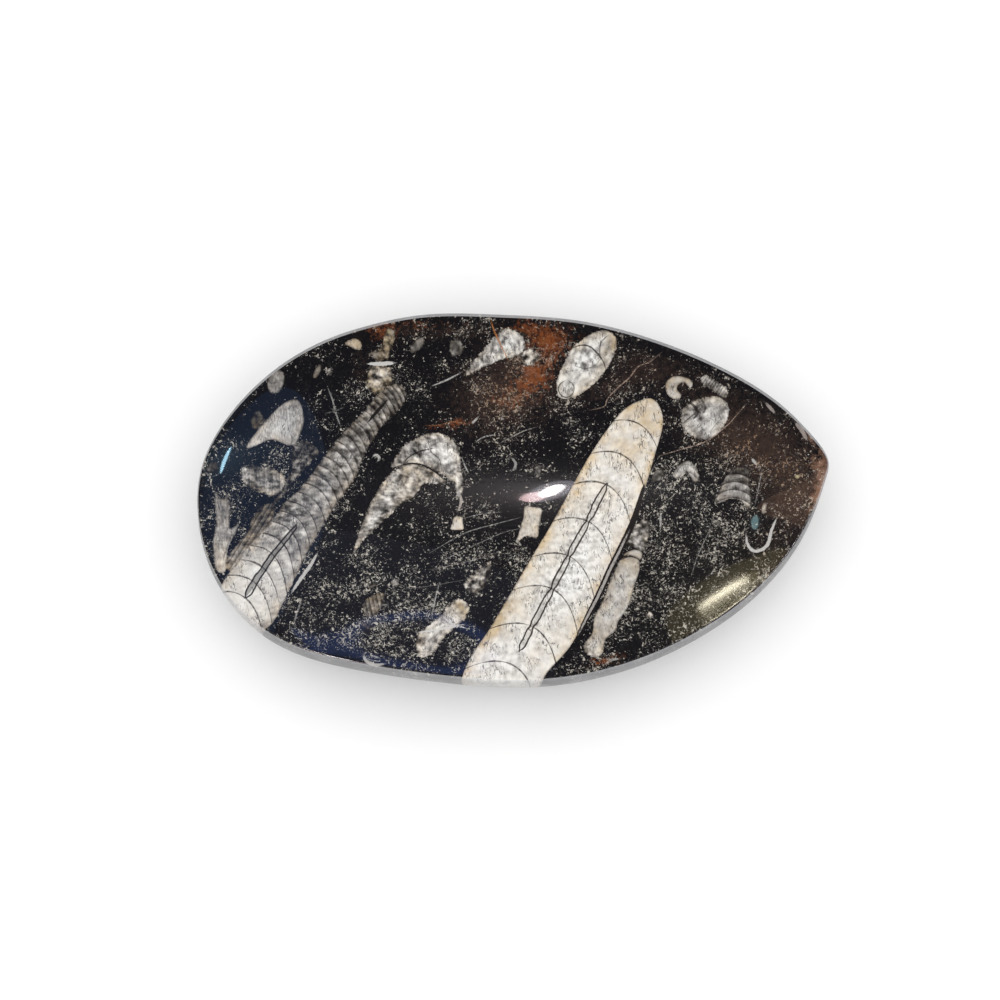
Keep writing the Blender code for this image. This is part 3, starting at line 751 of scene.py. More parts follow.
def plan_of_skin():
    """The rim edge, and every ring of the flat pattern that the dish is carved from.

    Each ring has its plan places, its zone and its turn round the lip or down
    the wall.
    """
    outline = fitted_outline(STEPS_PER_SPAN)
    inward = inward_directions(outline)
    widths = lip_widths(outline)[:, None]
    edge = outline + inward * widths
    base = outline * np.array([BASE_LENGTH_SHARE, BASE_WIDTH_SHARE])
    rings = []
    for scale, skip in shrinking_steps(len(edge), HOLLOW_RINGS, 1):
        rings.append((edge[::skip] * scale, HOLLOW, 0.0))
    for i in range(1, LIP_RINGS + 1):
        turn = 0.5 * math.pi * i / LIP_RINGS
        rings.append((outline + inward * widths * (1.0 - math.sin(turn)), LIP, turn))
    foot = base - inward_directions(base) * settings("dish_sizes").base_edge / MM
    for i in range(1, WALL_RINGS + 1):
        turn = WALL_TURN * i / WALL_RINGS
        inward_share = (1.0 - math.cos(turn)) / (1.0 - math.cos(WALL_TURN))
        rings.append((outline + (foot - outline) * inward_share, WALL, turn))
    rings.append((base, BASE, 0.0))
    for scale, skip in reversed(shrinking_steps(len(base), BASE_RINGS, 2)):
        if scale < 1.0:
            rings.append((base[::skip] * scale, BASE, 0.0))
    return edge, rings


def number_rings(rings):
    """Vertex numbers of each ring, with a middle point before the first and after the last."""
    numbers, first = [], 1
    for points, _, _ in rings:
        numbers.append(np.arange(first, first + len(points)))
        first += len(points)
    return numbers, first


def skin_faces(rings, numbers, last):
    """All faces, from the middle of the hollow to the middle of the base, and their zones."""
    inmost, outmost = numbers[0], numbers[-1]
    bands = [(HOLLOW, np.stack([np.zeros_like(inmost), inmost, np.roll(inmost, -1)], axis=1).tolist())]
    for (_, zone, _), inner, outer in zip(rings[1:], numbers, numbers[1:]):
        if len(outer) >= len(inner):
            bands.append((zone, join_rings(inner, outer)))
        else:
            bands.append((zone, [face[::-1] for face in join_rings(outer, inner)]))
    fan = np.stack([np.full_like(outmost, last), np.roll(outmost, -1), outmost], axis=1).tolist()
    bands.append((BASE, fan))
    faces = [face for _, band in bands for face in band]
    return faces, np.concatenate([np.full(len(band), zone) for zone, band in bands])


def store(mesh, name, kind, values):
    """Keeps one number or vector for each point of a mesh."""
    layer = mesh.attributes.new(name, kind, "POINT")
    field = "vector" if kind == "FLOAT_VECTOR" else "value"
    layer.data.foreach_set(field, np.ascontiguousarray(values, dtype=np.float32).ravel())


def carved_height(zone, turn, share, sizes):
    """Height of each point, by the same rules as the carving tree."""
    top = sizes.rim_height / MM
    lip_foot = top - sizes.lip_drop / MM
    worn = sizes.base_edge_height / MM
    heights = [
        top - sizes.hollow_depth / MM * share,
        top - sizes.lip_drop / MM * (1.0 - np.cos(turn)),
        lip_foot + (worn - lip_foot) * np.sin(turn) / math.sin(WALL_TURN),
        np.zeros(len(zone)),
    ]
    return np.choose(zone, heights)


def lay_marks(mesh, plan, zone, turn, share, sizes):
    """Stores on each point what the stone holds there."""
    height = carved_height(zone, turn, share, sizes)
    depth = np.where(zone == HOLLOW, 0.0, sizes.rim_height / MM - height)
    edge, looks, owner = lay_sections(plan, depth)
    chamber = np.tile([0.5, 2.0 * FAR_AWAY], (len(plan), 1))
    ribs = np.zeros((len(plan), 2))
    tube = np.tile([FAR_AWAY, 0.0], (len(plan), 1))
    lay_ribs(plan, chamber, ribs, owner)
    lay_big_chambers(plan, chamber, ribs, tube, np.flatnonzero(owner == BIG_NUMBER))
    lay_left_chambers(plan, chamber, ribs, tube, np.flatnonzero(owner == LEFT_NUMBER))
    outside = np.flatnonzero(zone >= WALL)
    found = [values[outside] for values in (edge, looks, chamber, ribs)]
    lay_deep_cones(np.column_stack([plan, height])[outside], *found)
    for values, new in zip((edge, looks, chamber, ribs), found):
        values[outside] = new
    pale, tint = lay_lines(plan, depth, PALE_LINES)
    dark, _ = lay_lines(plan, depth, DARK_LINES)
    # The tan layer is partly painted light on the point's lit lower wall
    stain = [np.clip(soft_spots(plan, spots), 0.0, MOST_STAIN) for spots in (RUST, BROWN, TAN_AND_LIT_POINT)]
    grain = np.clip(BARE_GRAIN + soft_spots(plan, GRAIN), *GRAIN_RANGE)
    vectors = {
        "fossil": [edge, chamber[:, 0], chamber[:, 1]],
        "calcite": [looks[:, 0], looks[:, 1], looks[:, 2]],
        "ribs": [ribs[:, 0], ribs[:, 1], looks[:, 3]],
        "tube": [tube[:, 0], tube[:, 1], tint],
        "pale line": pale.T,
        "dark line": dark.T,
        "stain": stain,
    }
    for name, columns in vectors.items():
        store(mesh, name, "FLOAT_VECTOR", np.column_stack(list(columns)))
    store(mesh, "grain", "FLOAT", grain)


# The texture map is 1 by 1: the hollow and the base in plan, each with its middle and how
# many dish lengths the map would be wide at its scale, and the two rows of the unrolled wall
MAP_HOLLOW, MAP_HOLLOW_SCALE = (0.5, 0.3), 1.01
MAP_BASE, MAP_BASE_SCALE = (0.22, 0.70), 2.1
MAP_ROWS, MAP_ROW_HEIGHT = (0.805, 0.905), 0.09
MAP_ROW_START, MAP_ROW_LENGTH = 0.002, 0.996


def flat_map(mesh, rings, numbers, faces, zones):
    """A texture map: the hollow and the base in plan, lip and wall unrolled in two rows above."""
    count = len(numbers[HOLLOW_RINGS])
    plan = np.zeros((sum(len(r) for r in numbers) + 2, 2))
    row_of, place_of = np.zeros(len(plan)), np.zeros(len(plan))
    strip = range(HOLLOW_RINGS - 1, HOLLOW_RINGS + LIP_RINGS + WALL_RINGS + 1)
    for i, (points, _, _) in enumerate(rings):
        plan[numbers[i]] = points
    for i in strip:
        row_of[numbers[i]] = (i - strip[0]) / (len(strip) - 1)
        place_of[numbers[i]] = np.arange(count)
    length, half = CAD_SIZE[0], count / 2
    layer = mesh.uv_layers.new(name="OFBake")
    corners = np.concatenate([np.array(face) for face in faces])
    face_of = np.repeat(np.arange(len(faces)), [len(face) for face in faces])
    zone_of = zones[face_of]
    uv = np.zeros((len(corners), 2))
    first_of_face = np.concatenate([[0], np.cumsum([len(face) for face in faces])[:-1]])
    hollow = zone_of == HOLLOW
    uv[hollow] = plan[corners[hollow]] / (length * MAP_HOLLOW_SCALE) + MAP_HOLLOW
    flat_base = (zone_of == BASE) & (row_of[corners] < 1.0)
    base_faces = np.zeros(len(faces), dtype=bool)
    base_faces[np.unique(face_of[flat_base])] = True
    base_faces |= (zones == BASE) & (np.arange(len(faces)) >= np.flatnonzero(zones == BASE)[0] + count)
    on_base = base_faces[face_of]
    uv[on_base] = plan[corners[on_base]] * [1.0, -1.0] / (length * MAP_BASE_SCALE) + MAP_BASE
    on_strip = ~hollow & ~on_base
    step = place_of[corners]
    start = np.minimum.reduceat(step, first_of_face)
    wraps = np.maximum.reduceat(step, first_of_face) - start > half
    step = np.where(wraps[face_of] & (step < half), step + count, step)
    start = np.where(wraps, count - 1, start)
    second_row = (start >= half)[face_of]
    along = (step - np.where(second_row, half, 0.0)) / half
    up = np.where(second_row, MAP_ROWS[1], MAP_ROWS[0]) + MAP_ROW_HEIGHT * row_of[corners]
    uv[on_strip] = np.stack([MAP_ROW_START + MAP_ROW_LENGTH * along, up], axis=1)[on_strip]
    layer.data.foreach_set("uv", uv.astype(np.float32).ravel())


def flat_skin(sizes):
    """The uncarved skin: a flat mesh that knows what the stone holds at every point."""
    edge, rings = plan_of_skin()
    numbers, last = number_rings(rings)
    faces, zones = skin_faces(rings, numbers, last)
    plan = np.vstack([[(0.0, 0.0)], *[points for points, _, _ in rings], [(0.0, 0.0)]])
    zone = np.concatenate([[HOLLOW], *[np.full(len(p), z) for p, z, _ in rings], [BASE]]).astype(int)
    turn = np.concatenate([[0.0], *[np.full(len(p), t) for p, _, t in rings], [0.0]])
    share = np.zeros(len(plan))
    hollow = zone == HOLLOW
    share[hollow] = depth_share(edge[::RIM_SKIP], plan[hollow])
    share[numbers[HOLLOW_RINGS - 1]] = 0.0
    mesh = bpy.data.meshes.new("dish_skin")
    mesh.from_pydata(np.column_stack([plan * MM, np.zeros(len(plan))]), [], faces)
    for name, values in (("zone", zone), ("turn", turn), ("share", share)):
        store(mesh, name, "FLOAT", values)
    honed = mesh.attributes.new("honed", "BOOLEAN", "FACE")
    honed.data.foreach_set("value", zones != HOLLOW)
    lay_marks(mesh, plan, zone, turn, share, sizes)
    flat_map(mesh, rings, numbers, faces, zones)
    skin = bpy.data.objects.new("dish_skin", mesh)
    bpy.context.scene.collection.objects.link(skin)
    return skin


# ---------------------------------------------------------------- nodes
CALC, NOISE, MIX, RAMP = "ShaderNodeMath", "ShaderNodeTexNoise", "ShaderNodeMix", "ShaderNodeMapRange"
VECTOR, ATTRIBUTE = "ShaderNodeVectorMath", "ShaderNodeAttribute"


def linear(code):
    """An sRGB hex colour as linear red, green, blue and alpha."""
    values = [int(code[i:i + 2], 16) / 255.0 for i in (1, 3, 5)]
    return tuple(v / 12.92 if v <= 0.04045 else ((v + 0.055) / 1.055) ** 2.4 for v in values) + (1.0,)


def add(tree, kind, feeds=None, **choices):
    """Adds one node: its choices, and for its inputs a value or the node or socket that feeds it."""
    node = tree.nodes.new(kind)
    for name, value in choices.items():
        setattr(node, name, value)
    shown = [socket for socket in node.inputs if socket.enabled]
    for place, value in (feeds or {}).items():
        socket = shown[place] if isinstance(place, int) else next(s for s in shown if s.name == place)
        if isinstance(value, bpy.types.Node):
            value = next(s for s in value.outputs if s.enabled)
        if isinstance(value, bpy.types.NodeSocket):
            tree.links.new(value, socket)
        else:
            socket.default_value = value
    return node


CARVE_INPUTS = ("Rim Height", "Hollow Depth", "Lip Drop", "Base Edge Height", "Hand Waviness", "Seed")
WAVE_SCALE = 42.0          # per metre, so the swells left by hand are about 24 mm apart
WAVES_IN_HOLLOW = 0.08     # share of them that is left in the polished hollow
SEED_STEP = 7.3            # how far apart the patterns of two seeds lie


def carve_tree():
    """Geometry nodes that raise the flat skin into the dish and give it its finishes."""
    tree = bpy.data.node_groups.new("carve dish", "GeometryNodeTree")
    face = tree.interface
    face.new_socket("Geometry", in_out="INPUT", socket_type="NodeSocketGeometry")
    face.new_socket("Geometry", in_out="OUTPUT", socket_type="NodeSocketGeometry")
    for name in CARVE_INPUTS:
        kind = "NodeSocketInt" if name == "Seed" else "NodeSocketFloat"
        face.new_socket(name, in_out="INPUT", socket_type=kind)
    for name in ("Polished", "Honed"):
        face.new_socket(name, in_out="INPUT", socket_type="NodeSocketMaterial")
    given = add(tree, "NodeGroupInput").outputs
    named = "GeometryNodeInputNamedAttribute"
    zone, turn, share = [add(tree, named, {"Name": name}, data_type="FLOAT").outputs["Attribute"]
                         for name in ("zone", "turn", "share")]
    sunk = add(tree, CALC, {0: share, 1: given["Hollow Depth"]}, operation="MULTIPLY")
    hollow = add(tree, CALC, {0: given["Rim Height"], 1: sunk}, operation="SUBTRACT")
    cosine = add(tree, CALC, {0: turn}, operation="COSINE")
    sine = add(tree, CALC, {0: turn}, operation="SINE")
    lip_foot = add(tree, CALC, {0: given["Rim Height"], 1: given["Lip Drop"]}, operation="SUBTRACT")
    lip = add(tree, CALC, {0: cosine, 1: given["Lip Drop"], 2: lip_foot}, operation="MULTIPLY_ADD")
    sine = add(tree, CALC, {0: sine, 1: math.sin(WALL_TURN)}, operation="DIVIDE")
    wall_span = add(tree, CALC, {0: given["Base Edge Height"], 1: lip_foot}, operation="SUBTRACT")
    wall = add(tree, CALC, {0: sine, 1: wall_span, 2: lip_foot}, operation="MULTIPLY_ADD")
    height = hollow
    for number, level in ((LIP, lip), (WALL, wall), (BASE, 0.0)):
        past = add(tree, "FunctionNodeCompare", {0: zone, 1: number - 0.5}, operation="GREATER_THAN")
        height = add(tree, "GeometryNodeSwitch", {"Switch": past, "False": height, "True": level},
                     input_type="FLOAT")
    raised = add(tree, "GeometryNodeSetPosition", {
        "Geometry": given["Geometry"], "Offset": add(tree, "ShaderNodeCombineXYZ", {"Z": height})})
    # Hand work leaves the surface a little uneven; the outside more than the polished hollow
    place = add(tree, "GeometryNodeInputPosition")
    seed = add(tree, CALC, {0: given["Seed"], 1: SEED_STEP}, operation="MULTIPLY")
    uneven = add(tree, NOISE, {"Vector": place, "W": seed, "Scale": WAVE_SCALE, "Detail": 1.5},
                 noise_dimensions="4D")
    uneven = add(tree, CALC, {0: uneven, 1: 0.5}, operation="SUBTRACT")
    outside = add(tree, RAMP, {"Value": zone, "From Min": 0.5, "From Max": 2.0,
                               "To Min": WAVES_IN_HOLLOW, "To Max": 1.0})
    on_base = add(tree, "FunctionNodeCompare", {0: zone, 1: BASE - 0.5}, operation="LESS_THAN")
    amount = add(tree, CALC, {0: uneven, 1: outside}, operation="MULTIPLY")
    amount = add(tree, CALC, {0: amount, 1: given["Hand Waviness"]}, operation="MULTIPLY")
    amount = add(tree, CALC, {0: amount, 1: on_base}, operation="MULTIPLY")
    normal = add(tree, "GeometryNodeInputNormal")
    shift = add(tree, VECTOR, {0: normal, "Scale": amount}, operation="SCALE")
    worn = add(tree, "GeometryNodeSetPosition", {"Geometry": raised, "Offset": shift})
    soft = add(tree, "GeometryNodeSetShadeSmooth", {"Geometry": worn, "Shade Smooth": True})
    whole = add(tree, "GeometryNodeRealizeInstances", {"Geometry": soft})
    polished = add(tree, "GeometryNodeSetMaterial", {"Geometry": whole, "Material": given["Polished"]})
    outer = add(tree, named, {"Name": "honed"}, data_type="BOOLEAN").outputs["Attribute"]
    both = add(tree, "GeometryNodeSetMaterial", {
        "Geometry": polished, "Selection": outer, "Material": given["Honed"]})
    add(tree, "NodeGroupOutput", {"Geometry": both})
    return tree


def carved(skin, sizes, finishes):
    """The dish: the skin after the carving tree, as a plain mesh with no modifier."""
    tree = carve_tree()
    carve = skin.modifiers.new("carve", "NODES")
    carve.node_group = tree
    identifiers = {s.name: s.identifier for s in tree.interface.items_tree if s.in_out == "INPUT"}
    for name in CARVE_INPUTS:
        carve[identifiers[name]] = getattr(sizes, name.lower().replace(" ", "_"))
    for name, material in zip(("Polished", "Honed"), finishes):
        carve[identifiers[name]] = material
    view_layer = bpy.context.evaluated_depsgraph_get()
    mesh = bpy.data.meshes.new_from_object(skin.evaluated_get(view_layer))
    mesh.name = "orthoceras_dish"
    bpy.data.objects.remove(skin)
    dish = bpy.data.objects.new("orthoceras_dish", mesh)
    bpy.context.scene.collection.objects.link(dish)
    return dish


# ---------------------------------------------------------------- the stone
def read_marks(tree):
    """The numbers that the skin's points carry, by name."""
    marks = {}
    for name, columns in MARKS.items():
        values = add(tree, ATTRIBUTE, attribute_name=name).outputs["Vector"]
        marks.update(zip(columns, add(tree, "ShaderNodeSeparateXYZ", {0: values}).outputs))
    marks["grain"] = add(tree, ATTRIBUTE, attribute_name="grain").outputs["Fac"]
    return marks


def thin_lines(tree, noise, width, **choices):
    """Thin lines where a noise crosses its middle."""
    lines = add(tree, NOISE, noise)
    lines = add(tree, CALC, {0: lines, 1: 0.5}, operation="SUBTRACT")
    lines = add(tree, CALC, {0: lines}, operation="ABSOLUTE")
    return add(tree, RAMP, {"Value": lines, **width}, **choices)


def fossil_edge(tree, place, marks):
    """The edge of a fossil, crisp on whole shells and ragged on broken ones.

    Gives the raggedness, the distance to the ragged edge and where calcite is.
    """
    rough = add(tree, NOISE, {"Vector": place, "Scale": 1.5, "Detail": 4.0, "Roughness": 0.65})
    rough = add(tree, CALC, {0: rough, 1: 2.6, 2: -1.3}, operation="MULTIPLY_ADD")
    reach = add(tree, CALC, {0: marks["mottle"], 1: 1.9, 2: -0.12}, operation="MULTIPLY_ADD")
    reach = add(tree, CALC, {0: reach, 1: 0.05}, operation="MAXIMUM")
    edge = add(tree, CALC, {0: rough, 1: reach, 2: marks["edge"]}, operation="MULTIPLY_ADD")
    calcite = add(tree, RAMP, {"Value": edge, "From Min": 0.08, "From Max": -0.08},
                  interpolation_type="SMOOTHSTEP")
    return rough, edge, calcite


def clouded_calcite(tree, place, marks, edge, colours):
    """Calcite from grey to white, clouded where the shell was filled with mud.

    Its crystals stand upright in the stone and show as soft streaks up and down
    the dish. Gives its colour and the finer of its two clouds.
    """
    cloud = add(tree, NOISE, {"Vector": place, "Scale": 0.42, "Detail": 2.0, "Roughness": 0.6})
    fine = add(tree, NOISE, {"Vector": place, "Scale": 0.85, "Detail": 2.5, "Roughness": 0.6})
    cloud = add(tree, CALC, {0: fine, 1: 1.1, 2: cloud}, operation="MULTIPLY_ADD")
    cloud = add(tree, CALC, {0: cloud, 1: 1.05}, operation="SUBTRACT")
    swing = add(tree, CALC, {0: marks["mottle"], 1: 2.4, 2: 0.13}, operation="MULTIPLY_ADD")
    shade = add(tree, CALC, {0: cloud, 1: swing, 2: marks["tone"]}, operation="MULTIPLY_ADD")
    upright = add(tree, VECTOR, {0: place, 1: (3.4, 0.42, 3.4)}, operation="MULTIPLY")
    upright = add(tree, NOISE, {"Vector": upright, "Scale": 1.0, "Detail": 3.0, "Roughness": 0.65})
    upright = add(tree, CALC, {0: upright, 1: 0.5}, operation="SUBTRACT")
    upright = add(tree, CALC, {0: upright, 1: marks["streaks"]}, operation="MULTIPLY")
    shade = add(tree, CALC, {0: upright, 1: 0.9, 2: shade}, operation="MULTIPLY_ADD")
    # Each chamber darkens towards its back wall
    back = add(tree, CALC, {0: marks["chamber"]}, operation="FRACT")
    back = add(tree, CALC, {0: back, 1: 1.6}, operation="POWER")
    back = add(tree, CALC, {0: back, 1: marks["darkening"]}, operation="MULTIPLY")
    shade = add(tree, CALC, {0: back, 1: -0.55, 2: shade}, operation="MULTIPLY_ADD")
    # The shell's own wall is a shade darker than its filling
    skin = add(tree, RAMP, {"Value": edge, "From Min": -0.38, "From Max": -0.10, "To Max": 0.22})
    shade = add(tree, CALC, {0: shade, 1: skin}, operation="SUBTRACT")
    shell = add(tree, "ShaderNodeValToRGB", {0: shade})
    stops = shell.color_ramp.elements
    stops[0].color, stops[1].color = colours["mud"], colours["white"]
    for position, name in ((0.24, "shadow"), (0.50, "grey"), (0.76, "pale")):
        stops.new(position).color = colours[name]
    # Warm patches, stronger near the shell's edge
    patch = add(tree, NOISE, {"Vector": place, "Scale": 0.2, "Detail": 4.0, "Roughness": 0.6})
    patch = add(tree, RAMP, {"Value": patch, "From Min": 0.36, "From Max": 0.66, "To Min": 0.25})
    stained = add(tree, RAMP, {"Value": edge, "From Min": -2.6, "From Max": -0.3, "To Max": 0.5})
    warm = add(tree, CALC, {0: marks["warmth"], 1: stained}, operation="ADD")
    warm = add(tree, CALC, {0: patch, 1: warm}, operation="MULTIPLY", use_clamp=True)
    shell = add(tree, MIX, {"Factor": warm, "A": shell, "B": colours["beige"]},
                data_type="RGBA", blend_type="MULTIPLY")
    return shell, fine


def hair_cracks(tree, place, shell, colours):
    """Hair cracks in the calcite, here and there, which run up and down the dish."""
    stretched = add(tree, VECTOR, {0: place, 1: (1.5, 0.36, 1.0)}, operation="MULTIPLY")
    crack = thin_lines(tree, {"Vector": stretched, "Scale": 1.0, "Detail": 1.5, "Roughness": 0.6},
                       {"From Min": 0.034, "From Max": 0.008, "To Max": 0.85},
                       interpolation_type="SMOOTHSTEP")
    some = add(tree, NOISE, {"Vector": place, "Scale": 0.3, "Detail": 2.0})
    some = add(tree, RAMP, {"Value": some, "From Min": 0.47, "From Max": 0.55})
    crack = add(tree, CALC, {0: crack, 1: some}, operation="MULTIPLY")
    return add(tree, MIX, {"Factor": crack, "A": shell, "B": colours["crack"]}, data_type="RGBA")


def septa(tree, marks, rough, sway, shell, colours):
    """The curved walls between chambers, seen edge on as thin dark lines."""
    wave = add(tree, CALC, {0: marks["chamber"], 1: 0.5}, operation="PINGPONG")
    septum = add(tree, CALC, {0: wave, 1: marks["gap"]}, operation="MULTIPLY")
    septum = add(tree, CALC, {0: sway, 1: 0.5, 2: septum}, operation="MULTIPLY_ADD")
    septum = add(tree, RAMP, {"Value": septum, "From Min": 0.24, "From Max": 0.09},
                 interpolation_type="SMOOTHSTEP")
    firm = add(tree, RAMP, {"Value": rough, "From Min": -0.5, "From Max": 0.2,
                            "To Min": 0.45, "To Max": 0.95})
    septum = add(tree, CALC, {0: septum, 1: firm}, operation="MULTIPLY")
    septum = add(tree, CALC, {0: septum, 1: marks["wall strength"]}, operation="MULTIPLY")
    return add(tree, MIX, {"Factor": septum, "A": shell, "B": colours["septum"]}, data_type="RGBA")


def siphuncle(tree, marks, rough, sway, shell, colours):
    """The siphuncle: two dark walls with greyer calcite between them."""
    side = add(tree, CALC, {0: sway, 1: 0.7, 2: marks["tube side"]}, operation="MULTIPLY_ADD")
    side = add(tree, CALC, {0: side}, operation="ABSOLUTE")
    wall = add(tree, CALC, {0: side, 1: marks["tube half"]}, operation="SUBTRACT")
    wall = add(tree, CALC, {0: rough, 1: 0.07, 2: wall}, operation="MULTIPLY_ADD")
    filled = add(tree, RAMP, {"Value": wall, "From Min": 0.05, "From Max": -0.1, "To Max": 0.25})
    shell = add(tree, MIX, {"Factor": filled, "A": shell, "B": colours["infill"]}, data_type="RGBA")
    wall = add(tree, CALC, {0: wall}, operation="ABSOLUTE")
    wall = add(tree, RAMP, {"Value": wall, "From Min": 0.26, "From Max": 0.12, "To Max": 0.98},
               interpolation_type="SMOOTHSTEP")
    return add(tree, MIX, {"Factor": wall, "A": shell, "B": colours["septum"]}, data_type="RGBA")


def stained_matrix(tree, place, marks, colours):
    """The black matrix, stained brown and rusty; its tan at the point is partly painted light."""
    blotch = add(tree, NOISE, {"Vector": place, "Scale": 0.7, "Detail": 4.0, "Roughness": 0.8})
    blotch = add(tree, CALC, {0: blotch, 1: 0.5}, operation="SUBTRACT")
    matrix = colours["black"]
    for name, swing, start, end, top in (
            ("brown", 2.2, 0.10, 1.15, 1.0), ("rust", 3.6, 0.25, 1.15, 0.9), ("tan", 1.5, 0.35, 0.85, 0.9)):
        stained = add(tree, CALC, {0: blotch, 1: swing, 2: marks[name]}, operation="MULTIPLY_ADD")
        shown = add(tree, CALC, {0: marks[name], 1: 6.0}, operation="MULTIPLY", use_clamp=True)
        stained = add(tree, RAMP, {"Value": stained, "From Min": start, "From Max": end, "To Max": top})
        stained = add(tree, CALC, {0: stained, 1: shown}, operation="MULTIPLY")
        matrix = add(tree, MIX, {"Factor": stained, "A": matrix, "B": colours[name]}, data_type="RGBA")
    return matrix


def dust_and_crumbs(tree, place, marks, matrix, colours):
    """Shell debris in drifts: dust, then crumbs like short worms in two sizes.

    Gives the matrix with them and how thickly the debris lies.
    """
    drift = add(tree, NOISE, {"Vector": place, "Scale": 0.13, "Detail": 4.0, "Roughness": 0.65})
    amount = add(tree, RAMP, {"Value": drift, "From Min": 0.35, "From Max": 0.65,
                              "To Min": -0.45, "To Max": 0.45})
    amount = add(tree, CALC, {0: amount, 1: marks["grain"]}, operation="ADD")
    dust = add(tree, NOISE, {"Vector": place, "Scale": 1.8, "Detail": 2.0, "Roughness": 0.7,
                             "Distortion": 0.7})
    dust = add(tree, CALC, {0: amount, 1: 0.10, 2: dust}, operation="MULTIPLY_ADD")
    dust = add(tree, RAMP, {"Value": dust, "From Min": 0.55, "From Max": 0.78, "To Max": 0.22})
    warmer = add(tree, CALC, {0: marks["rust"], 1: marks["brown"]}, operation="MAXIMUM")
    speck, crumb = [
        add(tree, MIX, {"Factor": warmer, "A": colours[name], "B": colours["rust speck"]}, data_type="RGBA")
        for name in ("speck", "crumb")]
    matrix = add(tree, MIX, {"Factor": dust, "A": matrix, "B": speck}, data_type="RGBA")
    for scale, width, brightest in ((1.5, 0.050, 0.66), (0.8, 0.045, 1.0)):
        worm = thin_lines(tree, {"Vector": place, "Scale": scale, "Detail": 1.0, "Roughness": 0.5,
                                 "Distortion": 0.8}, {"From Min": width, "From Max": width * 0.5})
        part = add(tree, NOISE, {"Vector": place, "Scale": scale * 1.3, "Detail": 1.0, "Roughness": 0.6})
        part = add(tree, CALC, {0: amount, 1: 0.26, 2: part}, operation="MULTIPLY_ADD")
        part = add(tree, RAMP, {"Value": part, "From Min": 0.66, "From Max": 0.74, "To Max": brightest})
        worm = add(tree, CALC, {0: worm, 1: part}, operation="MULTIPLY")
        matrix = add(tree, MIX, {"Factor": worm, "A": matrix, "B": crumb}, data_type="RGBA")
    return matrix, amount


def chips_and_curls(tree, place, fine, amount, matrix, colours):
    """Chips of shell in three sizes, and broken shell edges, hair thin and curled."""
    bent = add(tree, NOISE, {"Vector": place, "Scale": 0.9, "Detail": 2.0})
    bent = add(tree, VECTOR, {0: bent.outputs["Color"], 1: (1.6, 1.6, 1.6), 2: place},
               operation="MULTIPLY_ADD")
    for scale, turn, squeeze, size, share, brightest in (
            (0.9, 0.5, 0.40, 0.24, 0.42, 0.90), (0.7, -0.9, 0.30, 0.22, 0.30, 0.60),
            (1.7, 1.3, 0.60, 0.28, 0.52, 0.95)):
        turned = add(tree, "ShaderNodeMapping", {"Vector": bent, "Rotation": (0.0, 0.0, turn),
                                                 "Scale": (1.0, squeeze, 1.0)}, vector_type="TEXTURE")
        cell = add(tree, "ShaderNodeTexVoronoi", {"Vector": turned, "Scale": scale})
        kind = add(tree, "ShaderNodeSeparateXYZ", {0: cell.outputs["Color"]}).outputs
        here = add(tree, CALC, {0: amount, 1: share, 2: kind["X"]}, operation="MULTIPLY_ADD")
        here = add(tree, RAMP, {"Value": here, "From Min": 0.98, "From Max": 1.02})
        chip = add(tree, RAMP, {"Value": cell.outputs["Distance"], "From Min": size, "From Max": size * 0.6})
        chip = add(tree, CALC, {0: chip, 1: here}, operation="MULTIPLY")
        light = add(tree, CALC, {0: kind["Y"], 1: 2.5}, operation="POWER")
        light = add(tree, RAMP, {"Value": light, "To Min": 0.12, "To Max": brightest})
        chip = add(tree, CALC, {0: chip, 1: light}, operation="MULTIPLY")
        matrix = add(tree, MIX, {"Factor": chip, "A": matrix, "B": colours["debris"]}, data_type="RGBA")
    curl = thin_lines(tree, {"Vector": bent, "Scale": 0.5, "Detail": 1.5},
                      {"From Min": 0.012, "From Max": 0.004, "To Max": 0.5})
    some = add(tree, RAMP, {"Value": fine, "From Min": 0.52, "From Max": 0.62})
    curl = add(tree, CALC, {0: curl, 1: some}, operation="MULTIPLY")
    curl = add(tree, CALC, {0: curl, 1: amount}, operation="MULTIPLY", use_clamp=True)
    return add(tree, MIX, {"Factor": curl, "A": matrix, "B": colours["debris"]}, data_type="RGBA")


def veins_and_cracks(tree, marks, rough, vein, stone, colours):
    """Dark cracks and a painted crease shade, then pale veins and thin shells, broken up where thin."""
    for tone, colour, ragged in (("dark", colours["mud"], 0.14), ("pale", vein, 0.22)):
        side = add(tree, CALC, {0: marks[tone + " side"]}, operation="ABSOLUTE")
        side = add(tree, CALC, {0: side, 1: marks[tone + " half"]}, operation="SUBTRACT")
        side = add(tree, CALC, {0: rough, 1: ragged, 2: side}, operation="MULTIPLY_ADD")
        line = add(tree, RAMP, {"Value": side, "From Min": 0.09, "From Max": -0.05},
                   interpolation_type="SMOOTHSTEP")
        line = add(tree, CALC, {0: line, 1: marks[tone + " power"]}, operation="MULTIPLY")
        if tone == "pale":
            whole = add(tree, CALC, {0: marks["pale half"], 1: 2.2, 2: rough}, operation="MULTIPLY_ADD")
            whole = add(tree, RAMP, {"Value": whole, "From Min": 0.10, "From Max": 0.50, "To Min": 0.12})
            line = add(tree, CALC, {0: line, 1: whole}, operation="MULTIPLY")
        stone = add(tree, MIX, {"Factor": line, "A": stone, "B": colour}, data_type="RGBA")
    return stone


